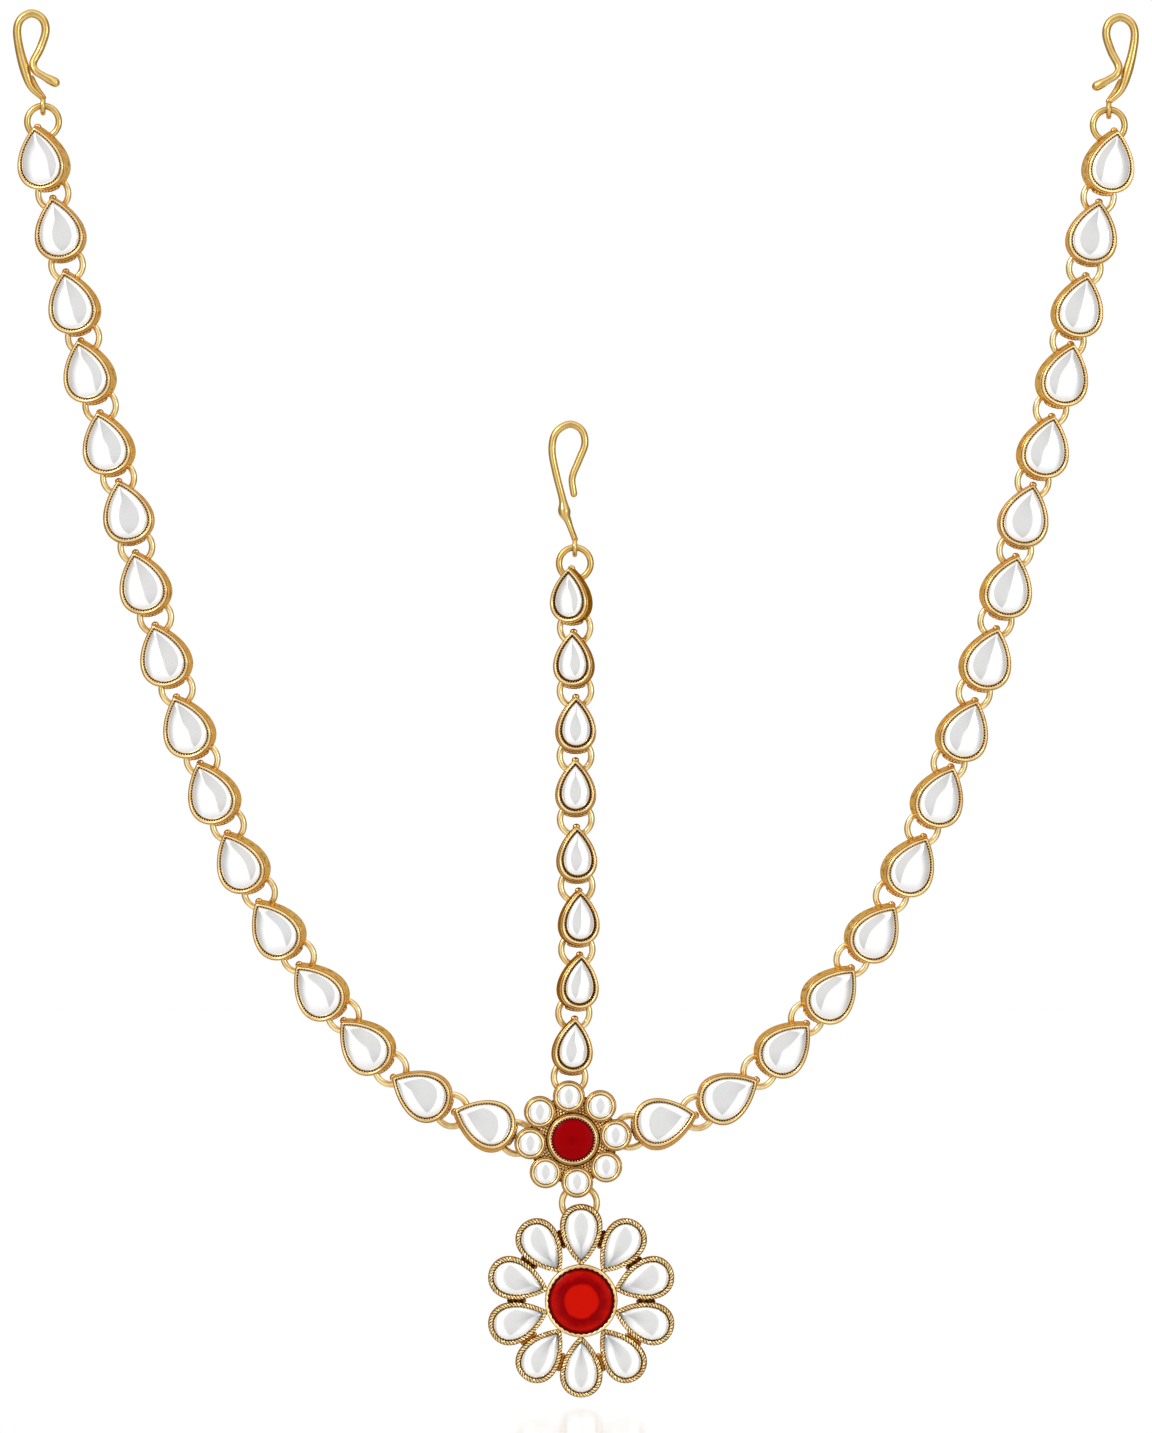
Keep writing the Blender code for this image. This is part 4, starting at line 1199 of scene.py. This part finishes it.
class JEWEL_OT_stage(bpy.types.Operator):
    """Set the camera, the lights and a plain pale floor"""

    bl_idname = "jewel.stage"
    bl_label = "Stage"

    def execute(self, context):
        add_camera(context)
        add_world(context)
        for name, (place, power) in LIGHTS.items():
            add_light(name, place, power)
        add_floor()
        context.scene.view_settings.view_transform = "Standard"
        return {"FINISHED"}


def add_camera(context):
    camera = bpy.data.cameras.new("camera")
    camera.sensor_fit = "VERTICAL"
    camera.sensor_height = SENSOR
    camera.lens = SENSOR * CAMERA_DISTANCE / (PICTURE[1] * PIXEL)
    camera.clip_end = 10.0
    holder = new_object("camera", camera)
    across = (PICTURE[0] / 2 - ORIGIN_PIXEL[0]) * PIXEL
    up = (ORIGIN_PIXEL[1] - PICTURE[1] / 2) * PIXEL
    holder.location = (across, -CAMERA_DISTANCE, up)
    holder.rotation_euler = (pi / 2, 0, 0)
    context.scene.camera = holder


def add_light(name, place, power):
    light = bpy.data.lights.new(name, "AREA")
    light.shape = "SQUARE"
    light.size = LIGHT_SIZE
    light.energy = power
    holder = new_object(name, light)
    holder.location = place
    holder.rotation_euler = (LIGHT_AIM - Vector(place)).to_track_quat("-Z", "Y").to_euler()


def add_world(context):
    """A white studio: a bright front with a greyer lens in its middle, dimmer sides, foot and back."""
    world = bpy.data.worlds.new("studio")
    world.use_nodes = True
    tree = world.node_tree
    tree.nodes.clear()
    way = tree.nodes.new("ShaderNodeTexCoord").outputs["Generated"]
    across, back, up = add_node(tree, "ShaderNodeSeparateXYZ", {"Vector": way}).outputs
    side = maths(tree, "ABSOLUTE", across)
    bulge = maths(tree, "POWER", maths(tree, "ABSOLUTE", minus(tree, up, LENS_HEIGHT)), 2.0)
    half = times(tree, minus(tree, 1.0, times(tree, bulge, LENS_CURVE)), LENS_HALF)
    panel = ranged(tree, minus(tree, side, half), 0.0, 0.07, LENS_LIGHT, PANEL_LIGHT)
    front = times(tree, panel, ranged(tree, up, -0.95, -0.1, 0.62, 1.0))
    behind = ranged(tree, back, -0.15, 0.25)
    strength = times(tree, front, minus(tree, 1.0, behind))
    strength = plus(tree, strength, times(tree, behind, BACK_LIGHT))
    strength = times(tree, strength, ranged(tree, side, 0.6, 0.96, 1.0, 0.34))
    whites = [{"Color": (1, 1, 1, 1), "Strength": power} for power in (strength, SEEN_LIGHT)]
    light, seen = (add_node(tree, "ShaderNodeBackground", white).outputs[0] for white in whites)
    ray = tree.nodes.new("ShaderNodeLightPath").outputs["Is Camera Ray"]
    mixed = add_node(tree, "ShaderNodeMixShader", {0: ray, 1: light, 2: seen})
    add_node(tree, "ShaderNodeOutputWorld", {"Surface": mixed.outputs[0]})
    context.scene.world = world


def add_floor():
    """A pale floor just under the pendant, which mirrors it faintly and glows to the room's white."""
    tree, shader = new_material("floor")
    feed(tree, shader, {"Base Color": (0.98, 0.98, 0.98, 1), "Roughness": 0.12, "Metallic": 1.0})
    glow = add_node(tree, "ShaderNodeEmission", {"Color": (1, 1, 1, 1), "Strength": FLOOR_GLOW})
    mixed = add_node(tree, "ShaderNodeMixShader", {0: GLOW_SHARE, 1: shader.outputs[0], 2: glow.outputs[0]})
    feed(tree, tree.nodes["Material Output"], {"Surface": mixed.outputs[0]})
    mesh = bpy.data.meshes.new("floor")
    low = CAD_BOX[0][2] - FLOOR_DROP
    half, front = FLOOR_HALF, FLOOR_FRONT
    corners = [(-half, front, low), (half, front, low), (half, half, low), (-half, half, low)]
    mesh.from_pydata(corners, [], [(0, 1, 2, 3)])
    mesh.materials.append(bpy.data.materials["floor"])
    floor = new_object("floor", mesh)
    floor.visible_glossy = False


class JEWEL_PT_panel(bpy.types.Panel):
    """Sizes, colours and steps of the jewel"""

    bl_idname = "JEWEL_PT_panel"
    bl_label = "Matha Patti"
    bl_space_type = "VIEW_3D"
    bl_region_type = "UI"
    bl_category = "Matha Patti"

    def draw(self, context):
        for group in (context.scene.jewel_sizes, context.scene.jewel_colours):
            box = self.layout.box()
            for name in group.__annotations__:
                box.prop(group, name)
        for step in STEPS:
            self.layout.operator(step.bl_idname)


STEPS = (
    JEWEL_OT_materials,
    JEWEL_OT_arms,
    JEWEL_OT_centre_chain,
    JEWEL_OT_hooks,
    JEWEL_OT_flower,
    JEWEL_OT_pendant,
    JEWEL_OT_stage,
)


def register():
    for item in (JewelSizes, JewelColours, *STEPS, JEWEL_PT_panel):
        bpy.utils.register_class(item)
    bpy.types.Scene.jewel_sizes = bpy.props.PointerProperty(type=JewelSizes)
    bpy.types.Scene.jewel_colours = bpy.props.PointerProperty(type=JewelColours)


def unregister():
    del bpy.types.Scene.jewel_sizes
    del bpy.types.Scene.jewel_colours
    for item in (JEWEL_PT_panel, *reversed(STEPS), JewelColours, JewelSizes):
        bpy.utils.unregister_class(item)


def main():
    register()
    bpy.ops.jewel.materials()
    bpy.ops.jewel.arms()
    bpy.ops.jewel.centre_chain()
    bpy.ops.jewel.hooks()
    bpy.ops.jewel.flower()
    bpy.ops.jewel.pendant()
    bpy.ops.jewel.stage()


if __name__ == "__main__":
    main()
